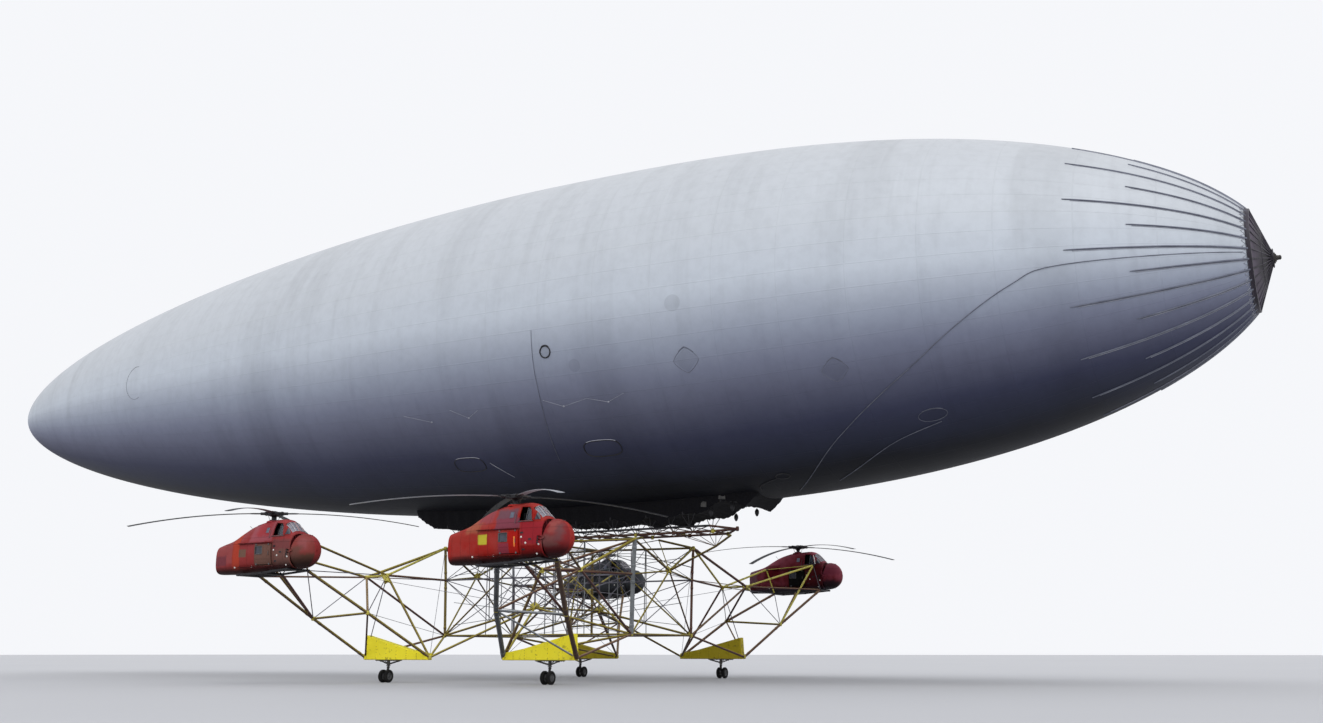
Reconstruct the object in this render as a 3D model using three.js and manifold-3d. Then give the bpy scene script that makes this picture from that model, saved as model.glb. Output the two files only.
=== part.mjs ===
// Hybrid airship: a helium envelope carried over an open tube frame with four helicopter fuselages.
// The model is a 1:10 scale model. Sizes below are metres of the real ship, turned to model
// millimetres by SCALE. Frame: +X to the nose, +Y to port, +Z up, origin on the ground under the middle.
import * as THREE from 'three';
import { mergeVertices } from 'three/addons/utils/BufferGeometryUtils.js';
import Module from 'manifold-3d';

const wasm = await Module();
wasm.setup();

// Driving dimensions, in metres of the real ship
const SCALE = 100;
const GAP = 0.004;
const SHIP_LENGTH = 104.5;
const ENVELOPE_RADIUS = 11.5;
const AXIS_HEIGHT = 22.58;
const WIDEST_FROM_NOSE = 0.424;
const NOSE_POWERS = { inner: 2.739, outer: 0.569 };
const TAIL_POWERS = { inner: 1.73, outer: 0.576 };
const ENVELOPE_WALL = 0.1;
const CONE_RADIUS = 3.0;
const SPINDLE_LENGTH = 0.35;
const FRAME_MIDDLE = 6.8;
const SIDES = [{ name: 'starboard', y: -1 }, { name: 'port', y: 1 }];
const ENDS = [{ name: 'front', x: 1, hub: 15.7 }, { name: 'rear', x: -1, hub: -1.7 }];
const HUB_OUT = 18.82;
const HUB_HEIGHT = 9.8;
const ROTOR_RADIUS = 8.53;
const BLADE_DROOP = 0.75;
const BLADE_ANGLES = { front_starboard: 49, rear_starboard: 29.4, front_port: 50, rear_port: -30.7 };
const WHEEL_RADIUS = 0.39;
const GEAR_STATION = 6.0;
const GEAR_OUT = 11.0;
const CASTER_TRAIL = 0.2;

// Small vector and solid helpers
const v = (x, y, z) => new THREE.Vector3(x, y, z);
const mix = (a, b, t) => a + (b - a) * t;

// A closed solid from a geometry, with its faces turned outwards
function solid(geometry) {
  const bare = geometry.index ? geometry.toNonIndexed() : geometry.clone();
  bare.deleteAttribute('normal');
  bare.deleteAttribute('uv');
  const merged = mergeVertices(bare, 1e-5);
  const index = merged.index.array;
  const faces = [];
  for (let i = 0; i < index.length; i += 3) {
    const [a, b, c] = [index[i], index[i + 1], index[i + 2]];
    if (a !== b && b !== c && c !== a) faces.push([a, b, c]);
  }
  const place = merged.attributes.position;
  const corner = (i) => v(place.getX(i), place.getY(i), place.getZ(i));
  const volume = faces.reduce((sum, [a, b, c]) => sum + corner(a).dot(corner(b).cross(corner(c))), 0);
  const outward = volume < 0 ? faces.map(([a, b, c]) => [a, c, b]) : faces;
  return new wasm.Manifold(new wasm.Mesh({
    numProp: 3,
    vertProperties: new Float32Array(merged.attributes.position.array),
    triVerts: new Uint32Array(outward.flat()),
  }));
}

function geometryOf(shape) {
  const mesh = shape.getMesh();
  const geometry = new THREE.BufferGeometry();
  const points = Float32Array.from(mesh.vertProperties, (value) => value * SCALE);
  geometry.setAttribute('position', new THREE.BufferAttribute(points, 3));
  geometry.setIndex(new THREE.BufferAttribute(new Uint32Array(mesh.triVerts), 1));
  geometry.computeVertexNormals();
  return geometry;
}

function join(shapes) {
  let row = shapes;
  while (row.length > 1) {
    const next = [];
    for (let i = 0; i < row.length; i += 2) next.push(i + 1 < row.length ? row[i].add(row[i + 1]) : row[i]);
    row = next;
  }
  return row[0];
}

function box(low, high) {
  const size = high.clone().sub(low);
  const geometry = new THREE.BoxGeometry(size.x, size.y, size.z);
  geometry.translate((low.x + high.x) / 2, (low.y + high.y) / 2, (low.z + high.z) / 2);
  return solid(geometry);
}

function tube(from, to, radius, sides = 6, endRadius = radius) {
  const along = to.clone().sub(from);
  const geometry = new THREE.CylinderGeometry(endRadius, radius, along.length(), sides);
  geometry.applyQuaternion(new THREE.Quaternion().setFromUnitVectors(v(0, 1, 0), along.clone().normalize()));
  const middle = from.clone().add(to).multiplyScalar(0.5);
  geometry.translate(middle.x, middle.y, middle.z);
  return solid(geometry);
}

function gusset(at, radius) {
  const geometry = new THREE.OctahedronGeometry(radius, 0);
  geometry.translate(at.x, at.y, at.z);
  return solid(geometry);
}

// A prism of an outline in the x-z plane, between two y values
function plate(outline, yLow, yHigh) {
  const shape = new THREE.Shape(outline.map(([x, z]) => new THREE.Vector2(x, z)));
  const geometry = new THREE.ExtrudeGeometry(shape, { depth: yHigh - yLow, bevelEnabled: false });
  geometry.rotateX(Math.PI / 2);
  geometry.translate(0, yHigh, 0);
  return solid(geometry);
}

// A closed skin through rings of points, all with the same number of points
function loft(rings) {
  const count = rings[0].length;
  const points = rings.flat();
  const faces = [];
  for (let r = 0; r + 1 < rings.length; r += 1) {
    for (let i = 0; i < count; i += 1) {
      const j = (i + 1) % count;
      const [a, b, c, d] = [r * count + i, r * count + j, (r + 1) * count + j, (r + 1) * count + i];
      faces.push(a, c, b, a, d, c);
    }
  }
  const last = (rings.length - 1) * count;
  for (let i = 1; i + 1 < count; i += 1) {
    faces.push(0, i, i + 1);
    faces.push(last, last + i + 1, last + i);
  }
  const geometry = new THREE.BufferGeometry();
  geometry.setAttribute('position', new THREE.Float32BufferAttribute(points.flatMap((p) => [p.x, p.y, p.z]), 3));
  geometry.setIndex(faces);
  return solid(geometry);
}

// A profile of [x, radius] pairs turned about the ship's axis
function revolve(profile, segments, axisZ = AXIS_HEIGHT) {
  const geometry = new THREE.LatheGeometry(profile.map(([x, r]) => new THREE.Vector2(r, x)), segments);
  geometry.rotateZ(-Math.PI / 2);
  geometry.rotateX(Math.PI / 2);
  geometry.translate(0, 0, axisZ);
  return solid(geometry);
}

// Envelope outline
const NOSE_X = SHIP_LENGTH / 2;
const ENVELOPE_SEGMENTS = 48;

function envelopeRadius(x) {
  const u = Math.min(Math.max((NOSE_X - x) / SHIP_LENGTH, 0), 1);
  const forward = u < WIDEST_FROM_NOSE;
  const reach = forward ? WIDEST_FROM_NOSE : 1 - WIDEST_FROM_NOSE;
  const { inner, outer } = forward ? NOSE_POWERS : TAIL_POWERS;
  const w = Math.min(Math.abs(u - WIDEST_FROM_NOSE) / reach, 1);
  return ENVELOPE_RADIUS * Math.pow(1 - Math.pow(w, inner), outer);
}

function stationOfRadius(radius) {
  let [near, far] = [NOSE_X, NOSE_X - 0.2 * SHIP_LENGTH];
  for (let i = 0; i < 50; i += 1) {
    const middle = (near + far) / 2;
    if (envelopeRadius(middle) < radius) near = middle;
    else far = middle;
  }
  return near;
}

const CONE_BASE = stationOfRadius(CONE_RADIUS);
const CONE_TIP = NOSE_X - SPINDLE_LENGTH;
const BATTEN = { width: 0.26, height: 0.1, count: 24, long: 13.6, short: 9.3, segments: 4 };

// Stations from the nose cone's base to the tail, closer together where the outline bends
function envelopeStations() {
  const battenSteps = Array.from({ length: BATTEN.segments + 1 }, (_, i) => (
    CONE_BASE - BATTEN.long * Math.pow(i / BATTEN.segments, 1.25)));
  const bodyStart = battenSteps[battenSteps.length - 1];
  const bodySteps = Array.from({ length: 12 }, (_, i) => {
    const t = (i + 1) / 12;
    return mix(bodyStart, -NOSE_X, Math.sin(t * Math.PI / 2));
  });
  return [...battenSteps, ...bodySteps];
}

function envelope() {
  const stations = envelopeStations();
  const outer = stations.map((x) => [x, envelopeRadius(x)]);
  outer[outer.length - 1] = [-NOSE_X, 0];
  const inner = stations.slice(0, -1).map((x) => [x, envelopeRadius(x) - ENVELOPE_WALL]);
  inner.push([-NOSE_X + ENVELOPE_WALL * 2, 0]);
  return revolve([...outer, ...inner.reverse(), outer[0]], ENVELOPE_SEGMENTS);
}

function envelopeGrown(amount) {
  const stations = envelopeStations();
  const outer = stations.map((x) => [x, envelopeRadius(x) + amount]);
  outer[outer.length - 1] = [-NOSE_X - amount, 0];
  return revolve([[CONE_BASE, 0], ...outer], ENVELOPE_SEGMENTS);
}

// Mooring cone, a shell open to the envelope, with its ring and battens, and the spindle it is moored by
const CONE = { wall: 0.09, inset: 0.1, shoulder: 0.15, shoulderRadius: 0.42, faceRadius: 0.34, segments: 24 };
const SPINDLE = { flange: 0.22, neck: 0.14, shank: 0.12, tip: 0.07, segments: 10 };

function noseCone() {
  const base = CONE_BASE + GAP;
  const shoulder = CONE_TIP - CONE.shoulder;
  const rim = CONE_RADIUS - CONE.inset;
  const outer = [[base, rim], [shoulder, CONE.shoulderRadius], [CONE_TIP, CONE.faceRadius], [CONE_TIP, 0]];
  const rimInside = mix(rim, CONE.shoulderRadius, CONE.wall / (shoulder - base));
  const inner = [[shoulder - CONE.wall, 0], [shoulder - CONE.wall, CONE.shoulderRadius], [base, rimInside]];
  return revolve([...outer, ...inner, outer[0]], CONE.segments);
}

function mooringSpindle() {
  const start = CONE_TIP + GAP;
  return revolve([
    [start, 0], [start, SPINDLE.flange], [start + 0.1, SPINDLE.neck], [NOSE_X - 0.08, SPINDLE.shank],
    [NOSE_X, SPINDLE.tip], [NOSE_X, 0],
  ], SPINDLE.segments);
}

function batten(index) {
  const angle = index * 2 * Math.PI / BATTEN.count;
  const length = index % 2 === 0 ? BATTEN.long : BATTEN.short;
  const stations = envelopeStations().filter((x) => x > CONE_BASE - length + 0.05);
  stations.push(CONE_BASE - length);
  const rings = stations.map((x, i) => {
    const taper = mix(1, 0.55, i / (stations.length - 1));
    const half = BATTEN.width * taper / 2;
    const foot = envelopeRadius(x) + GAP;
    const head = foot + BATTEN.height * taper;
    const at = (side, r) => v(x, r * Math.cos(angle) - side * Math.sin(angle),
      AXIS_HEIGHT + r * Math.sin(angle) + side * Math.cos(angle));
    return [at(-half, foot), at(half, foot), at(0, head)];
  });
  return loft(rings.reverse());
}

function noseBattens() {
  const ringFoot = envelopeRadius(CONE_BASE - 0.25) + GAP;
  const ring = revolve([
    [CONE_BASE - 0.02, CONE_RADIUS + 0.01], [CONE_BASE + 0.1, CONE_RADIUS + 0.2],
    [CONE_BASE - 0.25, ringFoot + 0.2], [CONE_BASE - 0.25, ringFoot], [CONE_BASE - 0.02, CONE_RADIUS + 0.01],
  ], BATTEN.count);
  const battens = Array.from({ length: BATTEN.count }, (_, i) => batten(i));
  return join([ring.subtract(envelopeGrown(GAP / 2)), ...battens]);
}

// Curtain between the envelope and the keel, with a scalloped lower edge that rises at both ends
const CURTAIN = {
  rear: -4.9, front: 22.0, halfWidth: 1.9, flare: 0.3, bottom: 10.05, top: 12.6, scallops: 10, depth: 0.16,
  rearRise: 1.0, rearRun: 3.2,
};
// Rise of the lower edge towards the bow: [station, rise]
const CURTAIN_BOW = [[15.5, 0], [17.9, 0.25], [19.3, 0.8], [20.3, 0.8], [21.1, 0.5], [22.0, 1.2]];

function bowRise(x) {
  const after = CURTAIN_BOW.findIndex(([station]) => station >= x);
  if (after < 1) return after === 0 ? 0 : CURTAIN_BOW[CURTAIN_BOW.length - 1][1];
  const [[x0, rise0], [x1, rise1]] = [CURTAIN_BOW[after - 1], CURTAIN_BOW[after]];
  return mix(rise0, rise1, (x - x0) / (x1 - x0));
}

function curtain() {
  const steps = CURTAIN.scallops * 3;
  const rings = Array.from({ length: steps + 1 }, (_, i) => {
    const t = i / steps;
    const x = mix(CURTAIN.rear, CURTAIN.front, t);
    const scallop = CURTAIN.depth * Math.abs(Math.sin(t * CURTAIN.scallops * Math.PI));
    const rearRise = CURTAIN.rearRise * Math.pow(Math.max(0, 1 - (x - CURTAIN.rear) / CURTAIN.rearRun), 2);
    const low = CURTAIN.bottom - scallop + rearRise + bowRise(x) + CURTAIN.depth / 2;
    const [half, wide] = [CURTAIN.halfWidth, CURTAIN.halfWidth + CURTAIN.flare];
    return [v(x, -half, low), v(x, half, low), v(x, wide, CURTAIN.top), v(x, -wide, CURTAIN.top)];
  });
  return loft(rings).subtract(envelopeGrown(GAP));
}

// Tube frames. A joint table holds named points, a member table holds [from, to, weight].
const TUBE = { post: 0.14, heavy: 0.085, main: 0.07, light: 0.055, thin: 0.04 };
const TUBE_SIDES = { post: 6, heavy: 4, main: 3, light: 3, thin: 3 };
const GUSSET = 0.26;
const gussetScale = (name) => (name.startsWith('small') ? 0.6 : 1) * (name.startsWith('arch') ? 1.7 : 1);

const bar = (from, to, weight, grow = 0) => tube(from, to, TUBE[weight] + grow, TUBE_SIDES[weight]);

function frame(members, joints, gussets, grow = 0) {
  const tubes = members.map(([from, to, weight]) => bar(joints[from], joints[to], weight, grow));
  const balls = gussets.map((name) => gusset(joints[name], GUSSET * gussetScale(name) + grow * 2));
  return join([...tubes, ...balls]);
}

// Keel girder: a box lattice under the curtain
const KEEL = {
  rear: -1.4, tip: 19.55, taper: 1.2, low: 9.32, high: 9.62, lowHalf: 1.1, highHalf: 1.6, tipHeight: 9.5, tipBall: 0.2,
  bays: 7,
};

function keel() {
  const station = (i) => mix(KEEL.rear, KEEL.tip - KEEL.taper, i / KEEL.bays);
  const parts = [];
  const tip = v(KEEL.tip, 0, KEEL.tipHeight);
  for (const side of [-1, 1]) {
    const low = (i) => v(station(i), side * KEEL.lowHalf, KEEL.low);
    const high = (i) => v(station(i), side * KEEL.highHalf, KEEL.high);
    parts.push(bar(low(0), low(KEEL.bays), 'main'), bar(high(0), high(KEEL.bays), 'main'));
    parts.push(bar(low(KEEL.bays), tip, 'main'), bar(high(KEEL.bays), tip, 'main'));
    for (let i = 0; i < KEEL.bays; i += 1) parts.push(bar(low(i), high(i + 1), 'thin'));
  }
  for (let i = 0; i <= KEEL.bays; i += 1) {
    parts.push(bar(v(station(i), -KEEL.lowHalf, KEEL.low), v(station(i), KEEL.lowHalf, KEEL.low), 'light'));
  }
  parts.push(gusset(tip, KEEL.tipBall));
  return join(parts);
}

// Centre frame joints: distance from the frame's middle, distance out, height
const CORNER = { low: [7.28, 3.96, 2.92], middle: [7.38, 3.96, 6.6], top: [7.5, 3.96, 8.75] };
const ARCH = [0, 3.96, 4.65];
const CROWN = [0, 3.96, 8.85];
const KEEL_FOOT = [6.4, 1.1, KEEL.low - 0.2];
const STAR = [7.8, 0, 7.0];
const PROW = v(18.0, 0, 8.45);
const KEEL_TIP = v(19.1, 0, 9.12);

function centreJoints() {
  const joints = {};
  for (const end of ENDS) {
    for (const side of SIDES) {
      for (const [level, [x, y, z]] of Object.entries(CORNER)) {
        joints[`${level}_${end.name}_${side.name}`] = v(FRAME_MIDDLE + end.x * x, side.y * y, z);
      }
      const [footX, footY, footZ] = KEEL_FOOT;
      joints[`smallKeel_${end.name}_${side.name}`] = v(FRAME_MIDDLE + end.x * footX, side.y * footY, footZ);
    }
    joints[`star_${end.name}`] = v(FRAME_MIDDLE + end.x * STAR[0], STAR[1], STAR[2]);
  }
  for (const side of SIDES) {
    joints[`arch_${side.name}`] = v(FRAME_MIDDLE + ARCH[0], side.y * ARCH[1], ARCH[2]);
    joints[`crown_${side.name}`] = v(FRAME_MIDDLE + CROWN[0], side.y * CROWN[1], CROWN[2]);
  }
  joints.small_prow = PROW;
  joints.small_keelTip = KEEL_TIP;
  return joints;
}

function centreMembers() {
  const members = [];
  for (const end of ENDS) {
    for (const side of SIDES) {
      const key = (level) => `${level}_${end.name}_${side.name}`;
      members.push([key('low'), key('middle'), 'post'], [key('middle'), key('top'), 'post']);
      members.push([key('top'), `crown_${side.name}`, 'main'], [key('low'), `arch_${side.name}`, 'main']);
      members.push([key('low'), `crown_${side.name}`, 'light'], [key('top'), `star_${end.name}`, 'main']);
      members.push([key('top'), key('smallKeel'), 'main'], [key('low'), `star_${end.name}`, 'light']);
    }
    members.push([`low_${end.name}_starboard`, `low_${end.name}_port`, 'main']);
  }
  for (const side of SIDES) {
    members.push([`low_front_${side.name}`, `low_rear_${side.name}`, 'light']);
    members.push([`middle_front_${side.name}`, `middle_rear_${side.name}`, 'light']);
    members.push([`arch_${side.name}`, `crown_${side.name}`, 'light']);
  }
  members.push(['arch_starboard', 'arch_port', 'main'], ['crown_starboard', 'crown_port', 'main']);
  members.push(['star_front', 'small_prow', 'main'], ['small_prow', 'small_keelTip', 'main']);
  return members;
}

const CENTRE_JOINTS = centreJoints();
const CENTRE_GUSSETS = Object.keys(CENTRE_JOINTS).filter((name) => !name.startsWith('middle') && !name.startsWith('crown'));
const centreFrame = (grow = 0) => frame(centreMembers(), CENTRE_JOINTS, CENTRE_GUSSETS, grow);

// Outrigger joints: distance from the frame's middle, distance out, height
const OUTRIGGER = {
  panelOuter: [7.85, 11.05, 1.5],
  panelInner: [2.75, 11.05, 1.52],
  elbowOuter: [9.25, 14.35, 3.83],
  elbowInner: [4.7, 14.58, 4.1],
  topOuter: [8.05, 11.08, 6.46],
  topInner: [5.8, 11.74, 6.49],
};
const OUTRIGGER_GUSSETS = ['panelOuter', 'panelInner', 'smallElbowOuter', 'smallElbowInner', 'topOuter', 'topInner'];

// Cradle joints under and beside a helicopter: distance forward of its hub, distance out, height below the hub
const CRADLE = {
  railFore: [2.1, 18.0, -3.34], railMid: [0.1, 18.0, -3.50], railAft: [-1.7, 18.0, -3.57],
  farFore: [2.1, 19.64, -3.34], farMid: [0.1, 19.64, -3.50], farAft: [-1.7, 19.64, -3.57],
  sideFore: [1.6, 17.88, -1.62], sideAft: [-2.3, 17.88, -1.95],
};

function outriggerJoints(end, side) {
  const joints = {};
  for (const [name, [x, y, z]] of Object.entries(OUTRIGGER)) {
    joints[name] = v(FRAME_MIDDLE + end.x * x, side.y * y, z);
  }
  joints.smallElbowOuter = joints.elbowOuter;
  joints.smallElbowInner = joints.elbowInner;
  for (const [name, [x, y, z]] of Object.entries(CRADLE)) {
    joints[name] = v(end.hub + x, side.y * y, HUB_HEIGHT + z);
  }
  for (const level of ['low', 'middle', 'top']) joints[level] = CENTRE_JOINTS[`${level}_${end.name}_${side.name}`];
  joints.arch = CENTRE_JOINTS[`arch_${side.name}`];
  return joints;
}

function outriggerMembers(end) {
  const [outerRail, innerRail] = end.x > 0 ? ['railFore', 'railAft'] : ['railAft', 'railFore'];
  const [outerSide, innerSide] = end.x > 0 ? ['sideFore', 'sideAft'] : ['sideAft', 'sideFore'];
  return [
    ['panelOuter', 'elbowOuter', 'heavy'], ['elbowOuter', outerRail, 'heavy'],
    ['panelInner', 'elbowInner', 'heavy'], ['elbowInner', innerRail, 'heavy'],
    ['elbowOuter', 'railMid', 'main'], ['elbowOuter', 'elbowInner', 'main'],
    ['elbowInner', 'panelOuter', 'light'], ['topOuter', 'elbowInner', 'main'],
    ['topOuter', 'topInner', 'main'], ['topOuter', 'low', 'main'], ['topOuter', 'top', 'heavy'],
    ['topInner', 'panelInner', 'post'], ['topInner', 'top', 'main'], ['topInner', 'middle', 'main'],
    ['topOuter', outerRail, 'light'], ['topInner', innerSide, 'main'], ['topOuter', outerSide, 'main'],
    [innerSide, innerRail, 'light'], [outerSide, 'elbowOuter', 'main'],
    ['panelOuter', 'low', 'main'], ['panelInner', 'low', 'main'], ['panelInner', 'arch', 'main'],
    ['railFore', 'railMid', 'main'], ['railMid', 'railAft', 'main'],
    ['farFore', 'farMid', 'main'], ['farMid', 'farAft', 'main'],
    ['railFore', 'farFore', 'main'], ['railMid', 'farMid', 'main'], ['railAft', 'farAft', 'main'],
  ];
}

function outrigger(end, side) {
  const joints = outriggerJoints(end, side);
  const whole = frame(outriggerMembers(end), joints, OUTRIGGER_GUSSETS);
  const hull = fuselageBody(GAP, -GAP).translate([end.hub, side.y * HUB_OUT, HUB_HEIGHT]);
  return whole.subtract(centreFrame(GAP)).subtract(hull);
}

// Yellow side panels: closed box sections between the two foot gussets
const PANEL = { halfWidth: 0.26, floor: 1.36, endGap: 0.05, tip: 0.36, shoulder: 0.66, peak: 1.5 };

function panel(end, side) {
  const [outer, inner] = [OUTRIGGER.panelOuter, OUTRIGGER.panelInner];
  const at = (x) => FRAME_MIDDLE + end.x * x;
  const [start, finish] = [inner[0] + PANEL.endGap, outer[0] - PANEL.endGap];
  const outline = [
    [at(start), PANEL.floor], [at(start), PANEL.floor + PANEL.tip],
    [at(mix(start, finish, 0.3)), PANEL.floor + PANEL.shoulder],
    [at(finish - 0.1), PANEL.floor + PANEL.peak], [at(finish), PANEL.floor],
  ];
  const y = side.y * GEAR_OUT;
  const joints = outriggerJoints(end, side);
  const cutters = [gusset(joints.panelOuter, GUSSET + GAP), gusset(joints.panelInner, GUSSET + GAP)];
  for (const [from, to, weight] of outriggerMembers(end)) {
    if (!from.startsWith('panel') && to !== 'panelOuter' && to !== 'panelInner') continue;
    cutters.push(tube(joints[from], joints[to], TUBE[weight] * 1.2 + GAP));
  }
  return plate(outline, y - PANEL.halfWidth, y + PANEL.halfWidth).subtract(join(cutters));
}

// Landing gear: a leg and brace under the panel, a swivelling fork and a pair of wheels
const GEAR = {
  legRadius: 0.1, legFoot: 1.0, boreRadius: 0.05, stemRadius: 0.04, stemTop: 1.14,
  armHalf: 0.045, axleRadius: 0.035, axleBore: 0.042, wheelGap: 0.2, wheelWidth: 0.22,
};

function gearPlace(end, side) {
  return v(FRAME_MIDDLE + end.x * GEAR_STATION, side.y * GEAR_OUT, 0);
}

function gearLeg(end, side) {
  const at = gearPlace(end, side);
  const top = PANEL.floor - GAP;
  const foot = v(at.x, at.y, GEAR.legFoot);
  const braceFoot = v(at.x - end.x * 0.02, at.y, GEAR.legFoot + 0.1);
  const braceHead = v(at.x - end.x * 0.75, at.y, top - 0.07);
  const leg = tube(foot, v(at.x, at.y, top), GEAR.legRadius, 8);
  const plateUnder = box(v(at.x - 0.95, at.y - 0.16, top - 0.05), v(at.x + 0.95, at.y + 0.16, top));
  const brace = tube(braceFoot, braceHead, 0.05);
  const sideBrace = tube(v(at.x, at.y, GEAR.legFoot + 0.1), v(at.x + end.x * 0.55, at.y, top - 0.07), 0.04);
  const bore = tube(v(at.x, at.y, GEAR.legFoot - 0.1), v(at.x, at.y, GEAR.stemTop + 0.03), GEAR.boreRadius, 8);
  return join([leg, plateUnder, brace, sideBrace]).subtract(bore);
}

function casterFork(end, side) {
  const at = gearPlace(end, side);
  const axleY = at.y + side.y * CASTER_TRAIL;
  const headTop = GEAR.legFoot - 0.012;
  const stem = tube(v(at.x, at.y, headTop - 0.1), v(at.x, at.y, GEAR.stemTop), GEAR.stemRadius, 8);
  const head = tube(v(at.x, at.y, 0.88), v(at.x, at.y, headTop), 0.095, 8);
  const low = 0.1;
  const arm = loft([-1, 1].map((edge) => {
    const x = at.x + edge * GEAR.armHalf;
    const outline = [[at.y - side.y * 0.1, 0.92], [at.y + side.y * 0.1, 0.92],
      [axleY + side.y * low, WHEEL_RADIUS + 0.04], [axleY + side.y * 0.05, WHEEL_RADIUS - low],
      [axleY - side.y * 0.07, WHEEL_RADIUS - low * 0.9], [at.y - side.y * 0.08, 0.6]];
    return outline.map(([y, z]) => v(x, y, z));
  }));
  const bore = tube(v(at.x - 0.2, axleY, WHEEL_RADIUS), v(at.x + 0.2, axleY, WHEEL_RADIUS), GEAR.axleBore, 8);
  return join([stem, head, arm]).subtract(bore);
}

function twinWheels(end, side) {
  const at = gearPlace(end, side);
  const axleY = at.y + side.y * CASTER_TRAIL;
  const wheel = (edge) => {
    const inner = edge * GEAR.wheelGap / 2;
    const outer = edge * (GEAR.wheelGap / 2 + GEAR.wheelWidth);
    const shoulder = edge * 0.05;
    const profile = [[inner, 0], [inner, WHEEL_RADIUS - 0.06], [inner + shoulder, WHEEL_RADIUS],
      [outer - shoulder, WHEEL_RADIUS], [outer, WHEEL_RADIUS - 0.06], [outer, 0]];
    const geometry = new THREE.LatheGeometry(profile.map(([x, r]) => new THREE.Vector2(r, x)), 16);
    geometry.rotateZ(-Math.PI / 2);
    geometry.translate(at.x, axleY, WHEEL_RADIUS);
    return solid(geometry);
  };
  const reach = GEAR.wheelGap / 2 + GEAR.wheelWidth - 0.02;
  const axle = tube(v(at.x - reach, axleY, WHEEL_RADIUS), v(at.x + reach, axleY, WHEEL_RADIUS), GEAR.axleRadius, 8);
  return join([wheel(-1), wheel(1), axle]);
}

// Helicopter fuselage sections, measured from the rotor hub:
// forward, floor, roof, half width, width of the roof against the widest
const SECTIONS = [
  { x: -3.88, floor: -3.47, roof: -1.80, half: 0.64, narrow: 0.83 },
  { x: -2.70, floor: -3.49, roof: -1.46, half: 0.78, narrow: 0.78 },
  { x: -2.00, floor: -3.50, roof: -1.07, half: 0.84, narrow: 0.64 },
  { x: -1.30, floor: -3.50, roof: -0.74, half: 0.87, narrow: 0.58 },
  { x: -0.30, floor: -3.46, roof: -0.49, half: 0.88, narrow: 0.64 },
  { x: 0.75, floor: -3.38, roof: -0.42, half: 0.88, narrow: 0.76 },
  { x: 1.25, floor: -3.34, roof: -0.41, half: 0.88, narrow: 0.78 },
  { x: 1.60, floor: -3.31, roof: -0.56, half: 0.88, narrow: 0.80 },
  { x: 2.25, floor: -3.28, roof: -1.24, half: 0.88, narrow: 0.90 },
];
const SECTION_POINTS = 12;
const SECTION_ROUND = 0.62;
const SHOULDER = -1.7;
const SKIN = 0.06;

function sectionRing(section, offset) {
  const middle = (section.floor + section.roof) / 2;
  const tall = (section.roof - section.floor) / 2 + offset;
  const wide = section.half + offset;
  const power = (value) => Math.sign(value) * Math.pow(Math.abs(value), SECTION_ROUND);
  return Array.from({ length: SECTION_POINTS }, (_, i) => {
    const angle = (i + 0.5) * 2 * Math.PI / SECTION_POINTS;
    const z = middle + tall * power(Math.sin(angle));
    const above = Math.max(0, (z - SHOULDER) / Math.max(section.roof - SHOULDER, 0.01));
    const narrow = 1 - (1 - section.narrow) * Math.min(above, 1);
    return v(section.x, wide * power(Math.cos(angle)) * narrow, z);
  });
}

function fuselageBody(offset, trim) {
  const sections = SECTIONS.map((section) => ({ ...section }));
  sections[0].x += trim;
  sections[sections.length - 1].x -= trim;
  return loft(sections.map((section) => sectionRing(section, offset)));
}

const SIDE_WINDOW = [[0.82, -1.40], [1.66, -1.40], [1.52, -0.86], [1.36, -0.66], [0.82, -0.62]];
const SCREEN_FROM = [1.62, -0.58];
const SCREEN_TO = [2.14, -1.12];
const DOOR = { rear: -0.42, front: 0.86, low: -3.02, high: -1.86, travel: 1.3, gap: 0.05, thick: 0.045 };
const DOOR_WINDOW = [[-0.34, -2.42], [0.18, -2.42], [0.18, -1.98], [-0.34, -1.98]];

function screenCut(yLow, yHigh) {
  const [ax, az] = SCREEN_FROM;
  const [bx, bz] = SCREEN_TO;
  return plate([[ax - 0.12, az - 0.22], [bx - 0.12, bz - 0.22], [bx + 0.2, bz + 0.26], [ax + 0.2, az + 0.26]], yLow, yHigh);
}

const HINGE = {
  x: 2.37, out: 0.94, z: -2.3, earLow: 0.055, earHigh: 0.11, earHalf: 0.03, earRear: 2.1, rootFront: 2.25, rootIn: 0.82,
  strapIn: 0.78, strapReach: 0.16, knuckle: 0.032,
};

function hingeEars() {
  const ears = [];
  for (const side of [-1, 1]) {
    for (const level of [-1, 1]) {
      const [a, b] = [HINGE.z + level * HINGE.earLow, HINGE.z + level * HINGE.earHigh];
      const ear = (x, inside) => box(
        v(HINGE.earRear, Math.min(side * inside, side * (HINGE.out + HINGE.earHalf)), Math.min(a, b)),
        v(x, Math.max(side * inside, side * (HINGE.out + HINGE.earHalf)), Math.max(a, b)),
      );
      ears.push(ear(HINGE.rootFront, HINGE.rootIn), ear(HINGE.x + HINGE.earHalf, HINGE.out - HINGE.earHalf));
    }
  }
  return ears;
}

const RAILS = [{ z: DOOR.high + 0.09, outer: 0.99, inner: 0.81 }, { z: DOOR.low - 0.09, outer: 0.9, inner: 0.71 }];

function doorRails() {
  const [rear, front] = [DOOR.rear - DOOR.travel - 0.06, DOOR.front + 0.06];
  return RAILS.map(({ z, outer, inner }) => box(v(rear, -outer, z - 0.03), v(front, -inner, z + 0.03)));
}

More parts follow.
